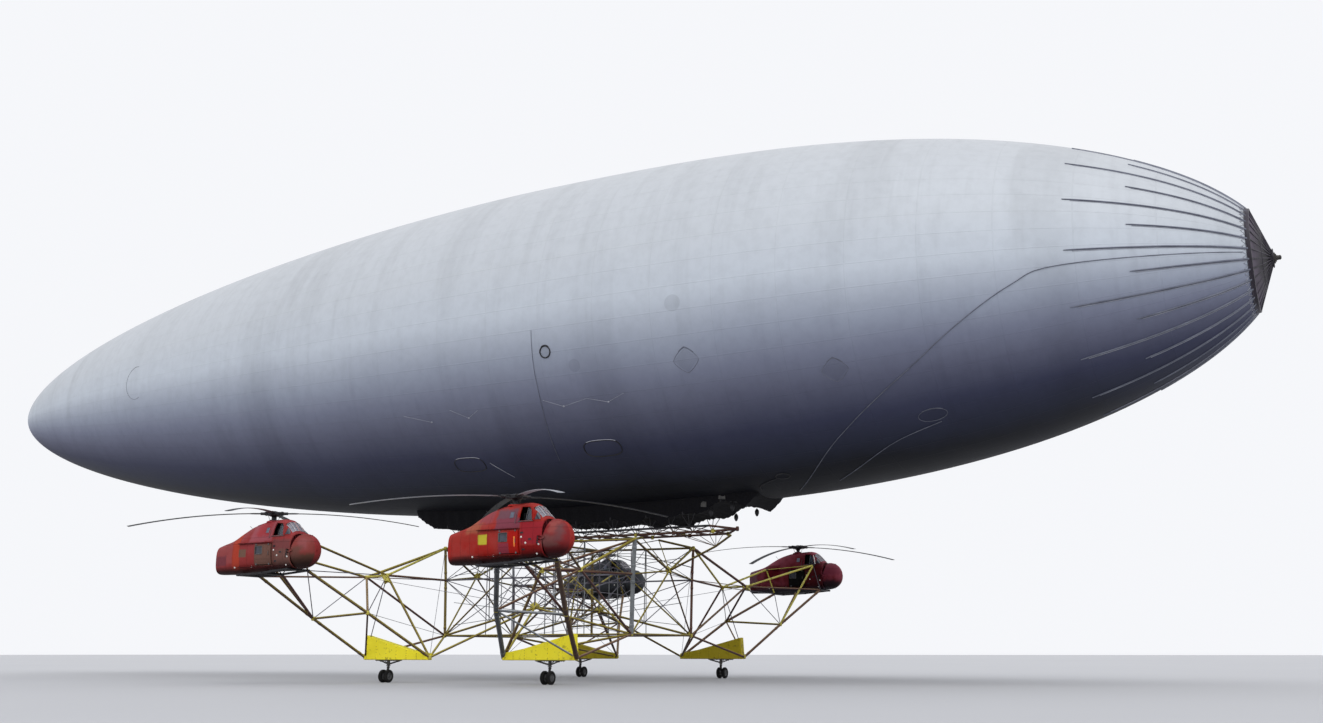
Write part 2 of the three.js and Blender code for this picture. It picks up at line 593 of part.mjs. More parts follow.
function fuselage() {
  const shell = fuselageBody(0, 0).subtract(fuselageBody(-SKIN, SKIN));
  const cuts = [
    plate(SIDE_WINDOW, -1.2, 1.2),
    screenCut(0.05, 0.56), screenCut(-0.56, -0.05),
    box(v(DOOR.rear + 0.08, -1.2, DOOR.low + 0.08), v(DOOR.front - 0.08, -0.5, DOOR.high - 0.08)),
    tube(v(0, 0, -0.9), v(0, 0, 0), 0.16, 8),
  ];
  return join([shell, ...hingeEars(), ...doorRails()]).subtract(join(cuts));
}

function cargoDoor() {
  const block = box(v(DOOR.rear, -1.2, DOOR.low), v(DOOR.front, -0.4, DOOR.high));
  const skin = fuselageBody(DOOR.gap + DOOR.thick, -0.1).subtract(fuselageBody(DOOR.gap, -0.2));
  return skin.intersect(block).subtract(plate(DOOR_WINDOW, -1.2, -0.4));
}

// Cockpit glass: one thin shell just inside the window openings
function glazing() {
  const outer = fuselageBody(-SKIN - GAP, SKIN + GAP);
  const inner = fuselageBody(-SKIN - 0.03, SKIN + 0.03);
  const region = plate([[0.7, -1.5], [2.18, -1.5], [2.18, -0.3], [0.7, -0.3]], -1, 1);
  return outer.subtract(inner).intersect(region);
}

// Engine: one plain block on the firewall behind the nose doors
const ENGINE = { rear: 2.25, front: 2.95, radius: 0.62, z: -2.3, sides: 16 };

function engine() {
  return tube(v(ENGINE.rear + GAP, 0, ENGINE.z), v(ENGINE.front, 0, ENGINE.z), ENGINE.radius, ENGINE.sides);
}

// Nose doors: halves of one bulb, cut back at the top for the cooling air
const BULB = {
  rear: 2.34, front: 3.56, half: 0.88, tall: 1.0, z: -2.3, power: 2.3, wall: 0.05, lean: 0.24, leanFrom: -2.3, points: 12,
};

function bulb(offset) {
  const rings = Array.from({ length: 4 }, (_, i) => {
    const t = Math.sin(i / 3 * Math.PI / 2) * 0.97;
    const r = Math.pow(1 - Math.pow(t, BULB.power), 1 / BULB.power);
    const start = BULB.rear - 0.02;
    const x = i === 0 ? start : mix(BULB.rear, BULB.front + offset, t);
    return Array.from({ length: BULB.points }, (_, j) => {
      const angle = (j + 0.5) * 2 * Math.PI / BULB.points;
      return v(x, (BULB.half + offset) * r * Math.cos(angle), BULB.z + (BULB.tall + offset) * r * Math.sin(angle));
    });
  });
  return loft(rings);
}

function noseDoor(side) {
  const shell = bulb(0).subtract(bulb(-BULB.wall));
  const keep = plate([
    [BULB.rear, -3.4], [4.2, -3.4], [4.2, -1.2], [BULB.rear + BULB.lean, -1.2], [BULB.rear, BULB.leanFrom],
  ], side > 0 ? GAP : -1.2, side > 0 ? 1.2 : -GAP);
  const y = side * HINGE.out;
  const knuckle = tube(v(HINGE.x, y, HINGE.z - 0.05), v(HINGE.x, y, HINGE.z + 0.05), HINGE.knuckle, 8);
  const strapSides = [side * HINGE.strapIn, side * (HINGE.out + 0.02)];
  const strap = box(v(HINGE.x, Math.min(...strapSides), HINGE.z - 0.05),
    v(BULB.rear + HINGE.strapReach, Math.max(...strapSides), HINGE.z + 0.05));
  return join([shell.intersect(keep), knuckle, strap]);
}

// Rotor: mast, hub and four drooping blades, all one turning piece
const BLADE = { root: 1.0, chord: 0.42, thick: 0.055, cuff: 0.07, segments: 3 };

function blade(angle) {
  const rings = Array.from({ length: BLADE.segments + 1 }, (_, i) => {
    const reach = mix(BLADE.root, ROTOR_RADIUS, i / BLADE.segments);
    const drop = -BLADE_DROOP * Math.pow((reach - BLADE.root) / (ROTOR_RADIUS - BLADE.root), 2);
    const outline = [[-0.12, 0], [0, BLADE.thick / 2], [BLADE.chord - 0.12, 0], [0, -BLADE.thick / 2]];
    return outline.map(([across, up]) => v(reach, across, drop + up));
  });
  const cuff = [[-1, 0], [0, 1], [1, 0], [0, -1]].map(([across, up]) => v(0.15, across * BLADE.cuff, up * BLADE.cuff));
  return loft([cuff, ...rings]).rotate([0, 0, angle]);
}

function rotor(firstAngle) {
  const hub = tube(v(0, 0, -0.12), v(0, 0, 0.16), 0.3, 12, 0.22);
  const mast = tube(v(0, 0, -0.85), v(0, 0, 0.1), 0.1, 8);
  const blades = Array.from({ length: 4 }, (_, i) => blade(firstAngle + 90 * i));
  return join([hub, mast, ...blades]);
}

// Materials of the real ship
const finish = (color, roughness, metalness = 0) => new THREE.MeshStandardMaterial({ color, roughness, metalness });
const MATERIALS = {
  silverFabric: finish(0xa9acb2, 0.45, 0.35),
  darkCone: finish(0x3b3f45, 0.5, 0.3),
  spindle: finish(0x777a7e, 0.35, 0.9),
  batten: finish(0xb9bcc0, 0.45, 0.4),
  darkFabric: finish(0x24272e, 0.85),
  bareTube: finish(0x8d9196, 0.4, 0.8),
  yellowTube: finish(0xa49a2c, 0.5, 0.2),
  yellowPanel: finish(0xd2b416, 0.45, 0.1),
  gearSteel: finish(0x6e7276, 0.4, 0.7),
  tyre: finish(0x17171a, 0.85),
  redPaint: finish(0xb3231d, 0.5),
  glass: finish(0x9fb4c4, 0.08),
  engineBlock: finish(0x4a4b4d, 0.5, 0.6),
  blade: finish(0x3a3c40, 0.5, 0.3),
};

const ship = new THREE.Group();

function addMesh(name, shape, material, parent = ship) {
  const mesh = new THREE.Mesh(geometryOf(shape), MATERIALS[material]);
  mesh.name = name;
  parent.add(mesh);
  return mesh;
}

addMesh('envelope', envelope(), 'silverFabric');
addMesh('nose_cone', noseCone(), 'darkCone');
addMesh('mooring_spindle', mooringSpindle(), 'spindle');
addMesh('nose_battens', noseBattens(), 'batten');
addMesh('keel_curtain', curtain(), 'darkFabric');
addMesh('keel_girder', keel(), 'bareTube');
addMesh('centre_frame', centreFrame(), 'yellowTube');

// The pieces of a helicopter that are alike on all four
const HELICOPTER_PIECES = [
  { name: 'fuselage', shape: fuselage(), material: 'redPaint' },
  { name: 'cockpit_glass', shape: glazing(), material: 'glass' },
  { name: 'engine', shape: engine(), material: 'engineBlock' },
  { name: 'cargo_door', shape: cargoDoor(), material: 'redPaint' },
  { name: 'nose_door_starboard', shape: noseDoor(-1), material: 'redPaint' },
  { name: 'nose_door_port', shape: noseDoor(1), material: 'redPaint' },
];

for (const end of ENDS) {
  for (const side of SIDES) {
    const corner = `${end.name}_${side.name}`;
    addMesh(`outrigger_${corner}`, outrigger(end, side), 'yellowTube');
    addMesh(`side_panel_${corner}`, panel(end, side), 'yellowPanel');
    addMesh(`gear_leg_${corner}`, gearLeg(end, side), 'gearSteel');
    addMesh(`caster_fork_${corner}`, casterFork(end, side), 'gearSteel');
    addMesh(`twin_wheels_${corner}`, twinWheels(end, side), 'tyre');
    const helicopter = new THREE.Group();
    helicopter.position.set(end.hub * SCALE, side.y * HUB_OUT * SCALE, HUB_HEIGHT * SCALE);
    ship.add(helicopter);
    for (const piece of HELICOPTER_PIECES) addMesh(`${piece.name}_${corner}`, piece.shape, piece.material, helicopter);
    addMesh(`rotor_${corner}`, rotor(BLADE_ANGLES[corner]), 'blade', helicopter);
  }
}

export default ship;
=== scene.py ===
# %% [markdown]
# # A hybrid airship, dressed as a 1:10 model
# The real thing is a helium envelope over an open tube frame. Four helicopter fuselages sit at the
# corners of the frame and lend it their rotors. The construction comes as plain solids, and this
# notebook gives every piece its fine shape and its finish. Lengths are written in metres of the real
# ship, because they are easy to picture that way, and one number shrinks them to the model.

# %% Load the construction
import math

import bmesh
import bpy
from mathutils import Matrix, Vector


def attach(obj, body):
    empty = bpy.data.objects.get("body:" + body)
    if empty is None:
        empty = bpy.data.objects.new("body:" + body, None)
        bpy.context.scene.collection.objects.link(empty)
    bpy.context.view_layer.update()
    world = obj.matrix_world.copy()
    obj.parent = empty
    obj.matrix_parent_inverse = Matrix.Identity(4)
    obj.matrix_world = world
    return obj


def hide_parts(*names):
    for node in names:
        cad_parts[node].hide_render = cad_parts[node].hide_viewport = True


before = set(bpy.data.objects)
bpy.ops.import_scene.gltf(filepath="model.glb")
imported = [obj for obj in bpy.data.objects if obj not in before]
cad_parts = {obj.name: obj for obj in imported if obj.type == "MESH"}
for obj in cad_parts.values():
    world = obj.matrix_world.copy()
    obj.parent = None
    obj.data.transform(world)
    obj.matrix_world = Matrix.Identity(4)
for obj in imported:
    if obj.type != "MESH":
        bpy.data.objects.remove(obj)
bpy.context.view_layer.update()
S = 0.1

# %% [markdown]
# ## The camera
# A photograph can be matched from its horizon, its focal length and a few points whose real places
# are known. The eye was low, ahead of the ship and to starboard, and looked up a little. Setting the
# lens from a focal length in pixels keeps the whole frame of the photograph.

# %% Camera
PHOTO_WIDTH = 1323
FOCAL_PIXELS = 1278.8
EYE = (5.507, -7.388, 0.175)
HEADING = math.atan2(0.8741, -0.4857)
PITCH = math.radians(12.86)
lens = bpy.data.cameras.new("camera")
lens.sensor_width = 36
lens.lens = lens.sensor_width * FOCAL_PIXELS / PHOTO_WIDTH
lens.clip_end = 400
camera = bpy.data.objects.new("camera", lens)
bpy.context.scene.collection.objects.link(camera)
camera.location = EYE
camera.rotation_euler = (math.pi / 2 + PITCH, 0, HEADING - math.pi / 2)
bpy.context.scene.camera = camera
print("lens", round(lens.lens, 2), "mm")

# %% [markdown]
# ## Colours and shader sums
# A procedural material is a sum: so much stain here, a seam there. Written as nodes by hand it soon
# gets hard to read, so a small class lets sockets be added and multiplied like numbers. Colours
# picked from a photograph are display values, and the shader wants linear ones, so one helper
# converts them.

# %% Colour helper
def linear(level):
    """A display level, 0 to 255, as linear light."""
    share = level / 255
    return share / 12.92 if share <= 0.04045 else ((share + 0.055) / 1.055) ** 2.4


def colour(red, green, blue):
    return (linear(red), linear(green), linear(blue), 1.0)


print("mid grey", round(linear(128), 3))


# %% A socket that can be used in sums
class Wire:
    def __init__(self, finish, socket):
        self.finish = finish
        self.socket = socket

    def maths(self, operation, *values):
        return self.finish.node("ShaderNodeMath", {"operation": operation}, dict(enumerate(values)))

    def __add__(self, other):
        return self.maths("ADD", self, other)

    __radd__ = __add__

    def __sub__(self, other):
        return self.maths("SUBTRACT", self, other)

    def __rsub__(self, other):
        return self.maths("SUBTRACT", other, self)

    def __mul__(self, other):
        return self.maths("MULTIPLY", self, other)

    __rmul__ = __mul__

    def __truediv__(self, other):
        return self.maths("DIVIDE", self, other)

    def __rtruediv__(self, other):
        return self.maths("DIVIDE", other, self)

    def __pow__(self, other):
        return self.maths("POWER", self, other)

    def size(self):
        return self.maths("ABSOLUTE", self)

    def larger(self, other):
        return self.maths("MAXIMUM", self, other)


# %% [markdown]
# ## One way to make a node
# Every finish is a material with its own helper methods: where am I on the real ship, how noisy is
# it here, how far am I from a line. Each of them goes through one method, which sets a node's
# options first and then its sockets.

# %% Finish
class Finish:
    def __init__(self, name, **fixed):
        self.material = bpy.data.materials.new(name)
        self.material.use_nodes = True
        self.tree = self.material.node_tree
        self.shader = self.tree.nodes["Principled BSDF"]
        for socket, value in fixed.items():
            self.shader.inputs[socket.replace("_", " ").title().replace("Ior", "IOR")].default_value = value
        self.vectors = {}

    def join(self, value, socket):
        if isinstance(value, Wire):
            self.tree.links.new(value.socket, socket)
        else:
            socket.default_value = value

    def node(self, kind, settings=None, inputs=None, output=0):
        node = self.tree.nodes.new(kind)
        for setting, value in (settings or {}).items():
            if setting == "stops":
                set_stops(node.color_ramp, value)
            else:
                setattr(node, setting, value)
        for key, value in (inputs or {}).items():
            self.join(value, node.inputs[key])
        return Wire(self, node.outputs[output])

    def wear(self, **sockets):
        """Feed the shader's sockets that change over the surface."""
        for socket, value in sockets.items():
            self.join(value, self.shader.inputs[socket.replace("_", " ").title()])
        return self.material

    def vector(self, output):
        """Object place or object normal, made once for each material."""
        if output not in self.vectors:
            self.vectors[output] = self.node("ShaderNodeTexCoord", None, None, output)
        return self.vectors[output]

    def part(self, output, axis):
        key = (output, axis)
        if key not in self.vectors:
            self.vectors[key] = self.node("ShaderNodeSeparateXYZ", None, {0: self.vector(output)}, axis)
        return self.vectors[key]

    def place(self, axis, start=0.0):
        """Distance along an axis, in metres of the real ship, from a start."""
        return self.part("Object", axis) * (1 / S) - start

    def facing(self, axis):
        return self.part("Normal", axis)

    def noise(self, scale, detail=3.0, stretch=(1, 1, 1)):
        """Cloudy noise, 0 to 1. The scale is in lumps for each real metre."""
        spread = self.node("ShaderNodeVectorMath", {"operation": "MULTIPLY"},
                           {0: self.vector("Object"), 1: [s * scale / S for s in stretch]})
        return self.node("ShaderNodeTexNoise", None,
                         {"Vector": spread, "Scale": 1.0, "Detail": detail, "Roughness": 0.6})

    def fade(self, value, start, end):
        """0 before start and 1 after end, with a soft step between."""
        return self.node("ShaderNodeMapRange", {"interpolation_type": "SMOOTHSTEP"},
                         {0: value, 1: start, 2: end, 3: 0.0, 4: 1.0})

    def line(self, value, at, half_width):
        """1 on a line where the value equals at, 0 away from it."""
        return 1 - self.fade((value - at).size(), half_width * 0.5, half_width)

    def lines(self, value, step, half_width):
        """Lines repeated at each step of the value."""
        share = self.node("ShaderNodeMath", {"operation": "PINGPONG"}, {0: value, 1: step / 2})
        return 1 - self.fade(share, half_width * 0.5, half_width)

    def region(self, bounds, soft=0.03):
        """1 inside a box on the surface: a list of (value, low, high)."""
        mask = None
        for value, low, high in bounds:
            above = self.fade(value, low - soft, low + soft)
            inside = above * (1 - self.fade(value, high - soft, high + soft))
            mask = inside if mask is None else mask * inside
        return mask

    def tint(self, mask, first, second):
        """The first colour where the mask is 0, and the second where it is 1."""
        return self.node("ShaderNodeMix", {"data_type": "RGBA"}, {0: mask, 6: first, 7: second}, 2)

    def shade(self, paint, mask, darkest):
        """A colour made darker where the mask is 1."""
        return self.node("ShaderNodeMix", {"data_type": "RGBA", "blend_type": "MULTIPLY"},
                         {0: mask, 6: paint, 7: (darkest, darkest, darkest, 1)}, 2)

    def ramp(self, value, stops):
        return self.node("ShaderNodeValToRGB", {"stops": stops}, {0: value})

    def relief(self, height, depth, strength=1.0):
        """A bump from a height of 0 to 1, and its depth in real metres."""
        return self.node("ShaderNodeBump", None,
                         {"Height": height, "Distance": depth * S, "Strength": strength})


def set_stops(ramp, stops):
    while len(ramp.elements) < len(stops):
        ramp.elements.new(1.0)
    for element, (position, shade) in zip(ramp.elements, stops):
        element.position = position
        element.color = shade


print("shader helpers ready")

# %% [markdown]
# ## Floor and light
# The light in the photograph is soft and comes from all round, as in a studio: one bright world does
# most of it, and a broad sun with soft edges gives the little direction there is. The light is nearly
# white, so colours go to the picture unchanged, through Blender's plain standard view.

# %% Floor and light
FLOOR_HALF = 150
world = bpy.data.worlds.new("sky")
world.use_nodes = True
sky = world.node_tree.nodes["Background"]
sky.inputs["Color"].default_value = (0.92, 0.93, 0.96, 1)
sky.inputs["Strength"].default_value = 1.0
bpy.context.scene.world = world
bpy.context.scene.view_settings.view_transform = "Standard"
sun_data = bpy.data.lights.new("sun", "SUN")
sun_data.energy = 0.9
sun_data.angle = math.radians(50)
sun = bpy.data.objects.new("sun", sun_data)
sun.rotation_euler = (math.radians(35), math.radians(12), math.radians(20))
bpy.context.scene.collection.objects.link(sun)

floor_finish = Finish("pale_floor", roughness=0.9)
floor_finish.wear(base_color=floor_finish.tint(floor_finish.noise(0.02), colour(182, 183, 187),
                                               colour(190, 191, 194)))
floor_mesh = bpy.data.meshes.new("floor")
floor_corners = [(x * FLOOR_HALF, y * FLOOR_HALF, 0) for x, y in ((-1, -1), (1, -1), (1, 1), (-1, 1))]
floor_mesh.from_pydata(floor_corners, [], [(0, 1, 2, 3)])
floor_mesh.materials.append(floor_finish.material)
floor = bpy.data.objects.new("floor", floor_mesh)
bpy.context.scene.collection.objects.link(floor)
print("floor", 2 * FLOOR_HALF, "m across")

# %% [markdown]
# ## Silver fabric
# The envelope is coated cloth with aluminium powder in its outer layer. Narrow strips of cloth, the
# gores, run from nose to tail, and taped seams cross them. Rain and handling have left it cloudy.
# The underside carries painted shade: the colour darkens to blue-black as the surface turns down.
# The finish works from the surface's own direction, so the painted dark belly follows the shape at
# nose and tail as well. Old repairs are only a shade darker than the cloth round them, so they are
# spots in the same finish.

# %% Silver fabric
SHIP_LENGTH = 104.5
NOSE_X = SHIP_LENGTH / 2
ENVELOPE_RADIUS = 11.5
WIDEST_FROM_NOSE = 0.424
NOSE_POWERS = (2.739, 0.569)
TAIL_POWERS = (1.73, 0.576)
CONE_RADIUS = 2.8
AXIS_HEIGHT = 22.58
GORES = 48
# Colours by the way the skin faces, from the belly up to the top: painted shade and light.
SKIN_PAINTED_SHADE = [
    (0.0, colour(4, 6, 14)), (0.03, colour(10, 13, 25)), (0.06, colour(38, 42, 60)),
    (0.125, colour(61, 64, 88)), (0.205, colour(101, 104, 125)), (0.28, colour(129, 134, 154)),
    (0.355, colour(158, 165, 181)), (0.485, colour(199, 206, 215)), (0.63, colour(199, 204, 210)),
    (1.0, colour(197, 200, 204))]
HOOP_STEP = 3.9
# A spot's station, angle in degrees, half its length and height, and 1 for a diamond or 2 for an oval.
FADED_SPOTS = [
    (21.4, -157.3, 0.8, 0.75, 1.0), (29.94, -148.1, 0.75, 0.7, 1.0), (20.94, -174.6, 0.5, 0.5, 2.0),
    (14.0, -160.0, 0.4, 0.4, 2.0), (12.08, -165.2, 0.3, 0.3, 2.0), (34.38, -125.7, 0.8, 0.45, 2.0)]


def envelope_radius(x):
    share = min(max((NOSE_X - x) / SHIP_LENGTH, 0), 1)
    ahead = share < WIDEST_FROM_NOSE
    reach = WIDEST_FROM_NOSE if ahead else 1 - WIDEST_FROM_NOSE
    inner, outer = NOSE_POWERS if ahead else TAIL_POWERS
    away = min(abs(share - WIDEST_FROM_NOSE) / reach, 1)
    return ENVELOPE_RADIUS * (1 - away ** inner) ** outer


def silver_fabric():
    f = Finish("silver_fabric", metallic=0.2, specular_ior_level=0.25)
    light_by_facing = f.facing(2)
    angle = f.node("ShaderNodeMath", {"operation": "ARCTAN2"}, {0: f.place(2, AXIS_HEIGHT), 1: f.place(1)})
    seams = f.lines(angle, 2 * math.pi / GORES, 0.004).larger(f.lines(f.place(0), HOOP_STEP, 0.04))
    spots = None
    for x, degrees, half_long, half_tall, power in FADED_SPOTS:
        reach = envelope_radius(x) / half_tall
        across = ((f.place(0) - x).size() / half_long) ** power
        spot = 1 - f.fade(across + ((angle - math.radians(degrees)).size() * reach) ** power, 0.9, 1.1)
        spots = spot if spots is None else spots.larger(spot)
    clouds = f.noise(0.09, 5)
    streaks = f.noise(0.2, 4, (1, 0.12, 0.16))
    rain = f.noise(1.1, 3, (1, 0.06, 0.1))
    mottle = f.noise(1.6, 3)
    # Painted shade: the skin's colour is picked by how far its face looks up.
    height = light_by_facing * 0.5 + 0.5 + (clouds - 0.5) * 0.07
    base = f.ramp(height, SKIN_PAINTED_SHADE)
    stained = f.shade(base, f.fade(streaks, 0.48, 0.7) * 0.5, 0.8)
    rained = f.shade(stained, f.fade(rain, 0.5, 0.7) * 0.4, 0.88)
    dusted = f.shade(rained, f.fade(mottle, 0.35, 0.75) * 0.4, 0.86)
    taped = f.shade(f.shade(dusted, seams * 0.08, 0.7), spots * 0.6, 0.8)
    relief = f.relief(seams * 0.3 + streaks * 0.5 + f.noise(0.5, 4) * 0.6, 0.03, 0.7)
    return f.wear(base_color=taped, roughness=0.5 + clouds * 0.2, normal=relief)


# %% [markdown]
# ## Dark cloth, cone and battens
# The curtain under the envelope is nearly black cloth, the nose cone is dark metal with a purple
# cast, and the battens are dull aluminium. Each gets its own scale of noise: the weave and folds of
# cloth are finer than the clouds of oxide on metal.

# %% Cloth and metal finishes
NOSE_RING = 50.86


def dark_cloth():
    f = Finish("dark_fabric", specular_ior_level=0.25)
    folds = f.noise(0.9, 4, (1, 1, 0.3))
    weave = f.lines(f.place(0), 0.12, 0.05).larger(f.lines(f.place(2), 0.12, 0.05))
    base = f.tint(folds, colour(4, 4, 7), colour(17, 16, 23))
    return f.wear(base_color=f.shade(base, weave * 0.4, 0.7), roughness=0.8 + folds * 0.15,
                  normal=f.relief(folds * 0.8 + weave * 0.2, 0.06, 0.8))


def cone_skin():
    """Dark metal with a purple cast, paler near the ring than at the tip."""
    f = Finish("cone_skin", metallic=0.2)
    clouds = f.noise(1.4, 4)
    ahead = f.fade(f.place(0) + clouds * 0.3, NOSE_RING + 0.1, NOSE_RING + 0.75)
    base = f.tint(ahead, colour(88, 77, 94), colour(26, 23, 29))
    return f.wear(base_color=f.shade(base, f.fade(clouds, 0.5, 0.7) * 0.6, 0.6), roughness=0.5 + clouds * 0.2,
                  normal=f.relief(clouds, 0.02, 0.5))


def cloudy_metal(name, dark, light, scale, metallic, roughness, depth=0.01, under_shade=0.5):
    """Metal or paint with clouds of two colours, and painted shade on the faces that look down."""
    f = Finish(name, metallic=metallic)
    clouds = f.noise(scale, 5)
    fine = f.noise(scale * 7, 3)
    base = f.tint(f.fade(clouds, 0.3, 0.7), dark, light)
    # Painted shade: faces that look down are darkened.
    under = f.fade(0 - f.facing(2), 0.1, 0.9) * under_shade
    shaded = f.shade(f.shade(base, under, 0.45), f.fade(fine, 0.55, 0.8) * 0.6, 0.6)
    return f.wear(base_color=shaded, roughness=roughness + (fine - 0.5) * 0.3,
                  normal=f.relief(fine, depth, 0.4))


def worn_paint(name, lit_and_shaded_tones, chips, scale):
    """Tube paint with painted light and shade, bright on top, dull at the sides and brown below, and chips to
    primer.
    """
    f = Finish(name, specular_ior_level=0.35)
    clouds = f.noise(scale, 5)
    fine = f.noise(scale * 8, 4)
    # Painted light and shade: the tone follows how far the face looks up.
    light_by_facing = f.facing(2) * 0.5 + 0.5 + (clouds - 0.5) * 0.5
    chipped = f.fade(fine + clouds * 0.5, 0.86, 0.94) * chips
    paint = f.tint(chipped, f.ramp(light_by_facing, lit_and_shaded_tones), colour(66, 44, 32))
    return f.wear(base_color=paint, roughness=0.5 + fine * 0.3, normal=f.relief(1 - chipped, 0.01, 0.5))


def tyre_rubber():
    f = Finish("tyre_rubber", specular_ior_level=0.3)
    dust = f.noise(4, 4)
    base = f.tint(f.fade(dust, 0.4, 0.75), colour(14, 14, 15), colour(38, 36, 35))
    return f.wear(base_color=base, roughness=0.8 + dust * 0.15, normal=f.relief(f.noise(30, 2), 0.01, 0.4))


def window_glass(name, clear, dark, light):
    """Acrylic: how much of the light goes through it, and its colours with little and much dust."""
    f = Finish(name, transmission_weight=clear, ior=1.45, specular_ior_level=0.6)
    dust = f.noise(1.4, 4, (1, 1, 2))
    return f.wear(base_color=f.tint(dust, dark, light), roughness=0.06 + f.fade(dust, 0.4, 0.8) * 0.3)


print("cloth, metal and glass finishes defined")

# %% [markdown]
# ## Paint of the helicopters
# The four fuselages came from different stores and were never repainted alike: one red with
# olive-brown repairs, one bright red with a bleached nose, one deep red and one grey. One function
# lays panel lines, rivets and dirt over any base, with painted light on the faces that look up and
# painted shade on the belly and on the faces that look down, and takes a list of patches, each a box
# on the fuselage in metres from its rotor hub.

# %% Helicopter paint
FRAME_STATIONS = (-3.6, -2.95, -2.3, -1.72, -1.1, 1.05, 1.75)
STRINGER_HEIGHTS = (-3.12, -1.78, -1.45)


def helicopter_paint(name, hub, base, bleached_and_lit, top_light_and_bleach, belly, patches=()):
    """A patch is a colour, its low and high station, its low and high height, and how ragged it is."""
    f = Finish(name, specular_ior_level=0.14)
    x = f.place(0, hub[0])
    z = f.place(2, hub[2])
    starboard = f.fade(0 - f.place(1, hub[1]), 0.1, 0.2)
    clouds = f.noise(0.7, 5)
    fine = f.noise(5, 4)
    paint = f.tint(f.fade(clouds, 0.35, 0.65) * 0.6, base, bleached_and_lit)
    # Faces that look up take the bleached colour: partly sun bleaching, partly painted light.
    light_by_facing = f.fade(f.facing(2) + (clouds - 0.5) * 0.6, 0.1, 0.9)
    paint = f.tint(light_by_facing * top_light_and_bleach, paint, bleached_and_lit)
    wander = f.noise(2.4, 4) - 0.5
    for shade_of, low_x, high_x, low_z, high_z, ragged in patches:
        box = f.region([(x + wander * ragged, low_x, high_x), (z + wander * ragged, low_z, high_z)],
                       0.02 + ragged * 0.25)
        paint = f.tint(box * starboard, paint, shade_of)
    joints = None
    for station in FRAME_STATIONS:
        joint = f.line(x, station, 0.022)
        joints = joint if joints is None else joints.larger(joint)
    for height in STRINGER_HEIGHTS:
        joints = joints.larger(f.line(z, height, 0.02))
    rivets = f.lines(x, 0.1, 0.03) * f.lines(z, 0.1, 0.03) * f.fade(joints, 0.0, 0.02)
    # Painted shade: towards the bottom the paint turns to the belly colour, for the shade under the fuselage.
    under_shade = f.fade(0 - z + (clouds - 0.5) * 0.5, 3.0, 3.35)
    paint = f.tint(under_shade * 0.85, paint, belly)
    # Painted shade: faces that look down are darkened.
    paint = f.shade(paint, f.fade(0 - f.facing(2), 0.0, 0.8), 0.2)
    paint = f.shade(paint, joints * 0.5, 0.5)
    paint = f.shade(paint, f.fade(fine, 0.55, 0.8) * 0.45, 0.72)
    relief = f.relief(1 - joints.larger(rivets * 0.5), 0.02, 0.6)
    return f.wear(base_color=paint, roughness=0.45 + fine * 0.3, normal=relief)


print("paint defined")

# %% [markdown]
# ## Shapes from rings
# Nearly every piece here is a skin stretched over rings of points: a tube is two rings, a fuselage
# many. A small shape class collects points and faces in metres of the real ship, so one mesh can
# hold a whole truss. Normals are put right at the end by Blender, which spares the bookkeeping.

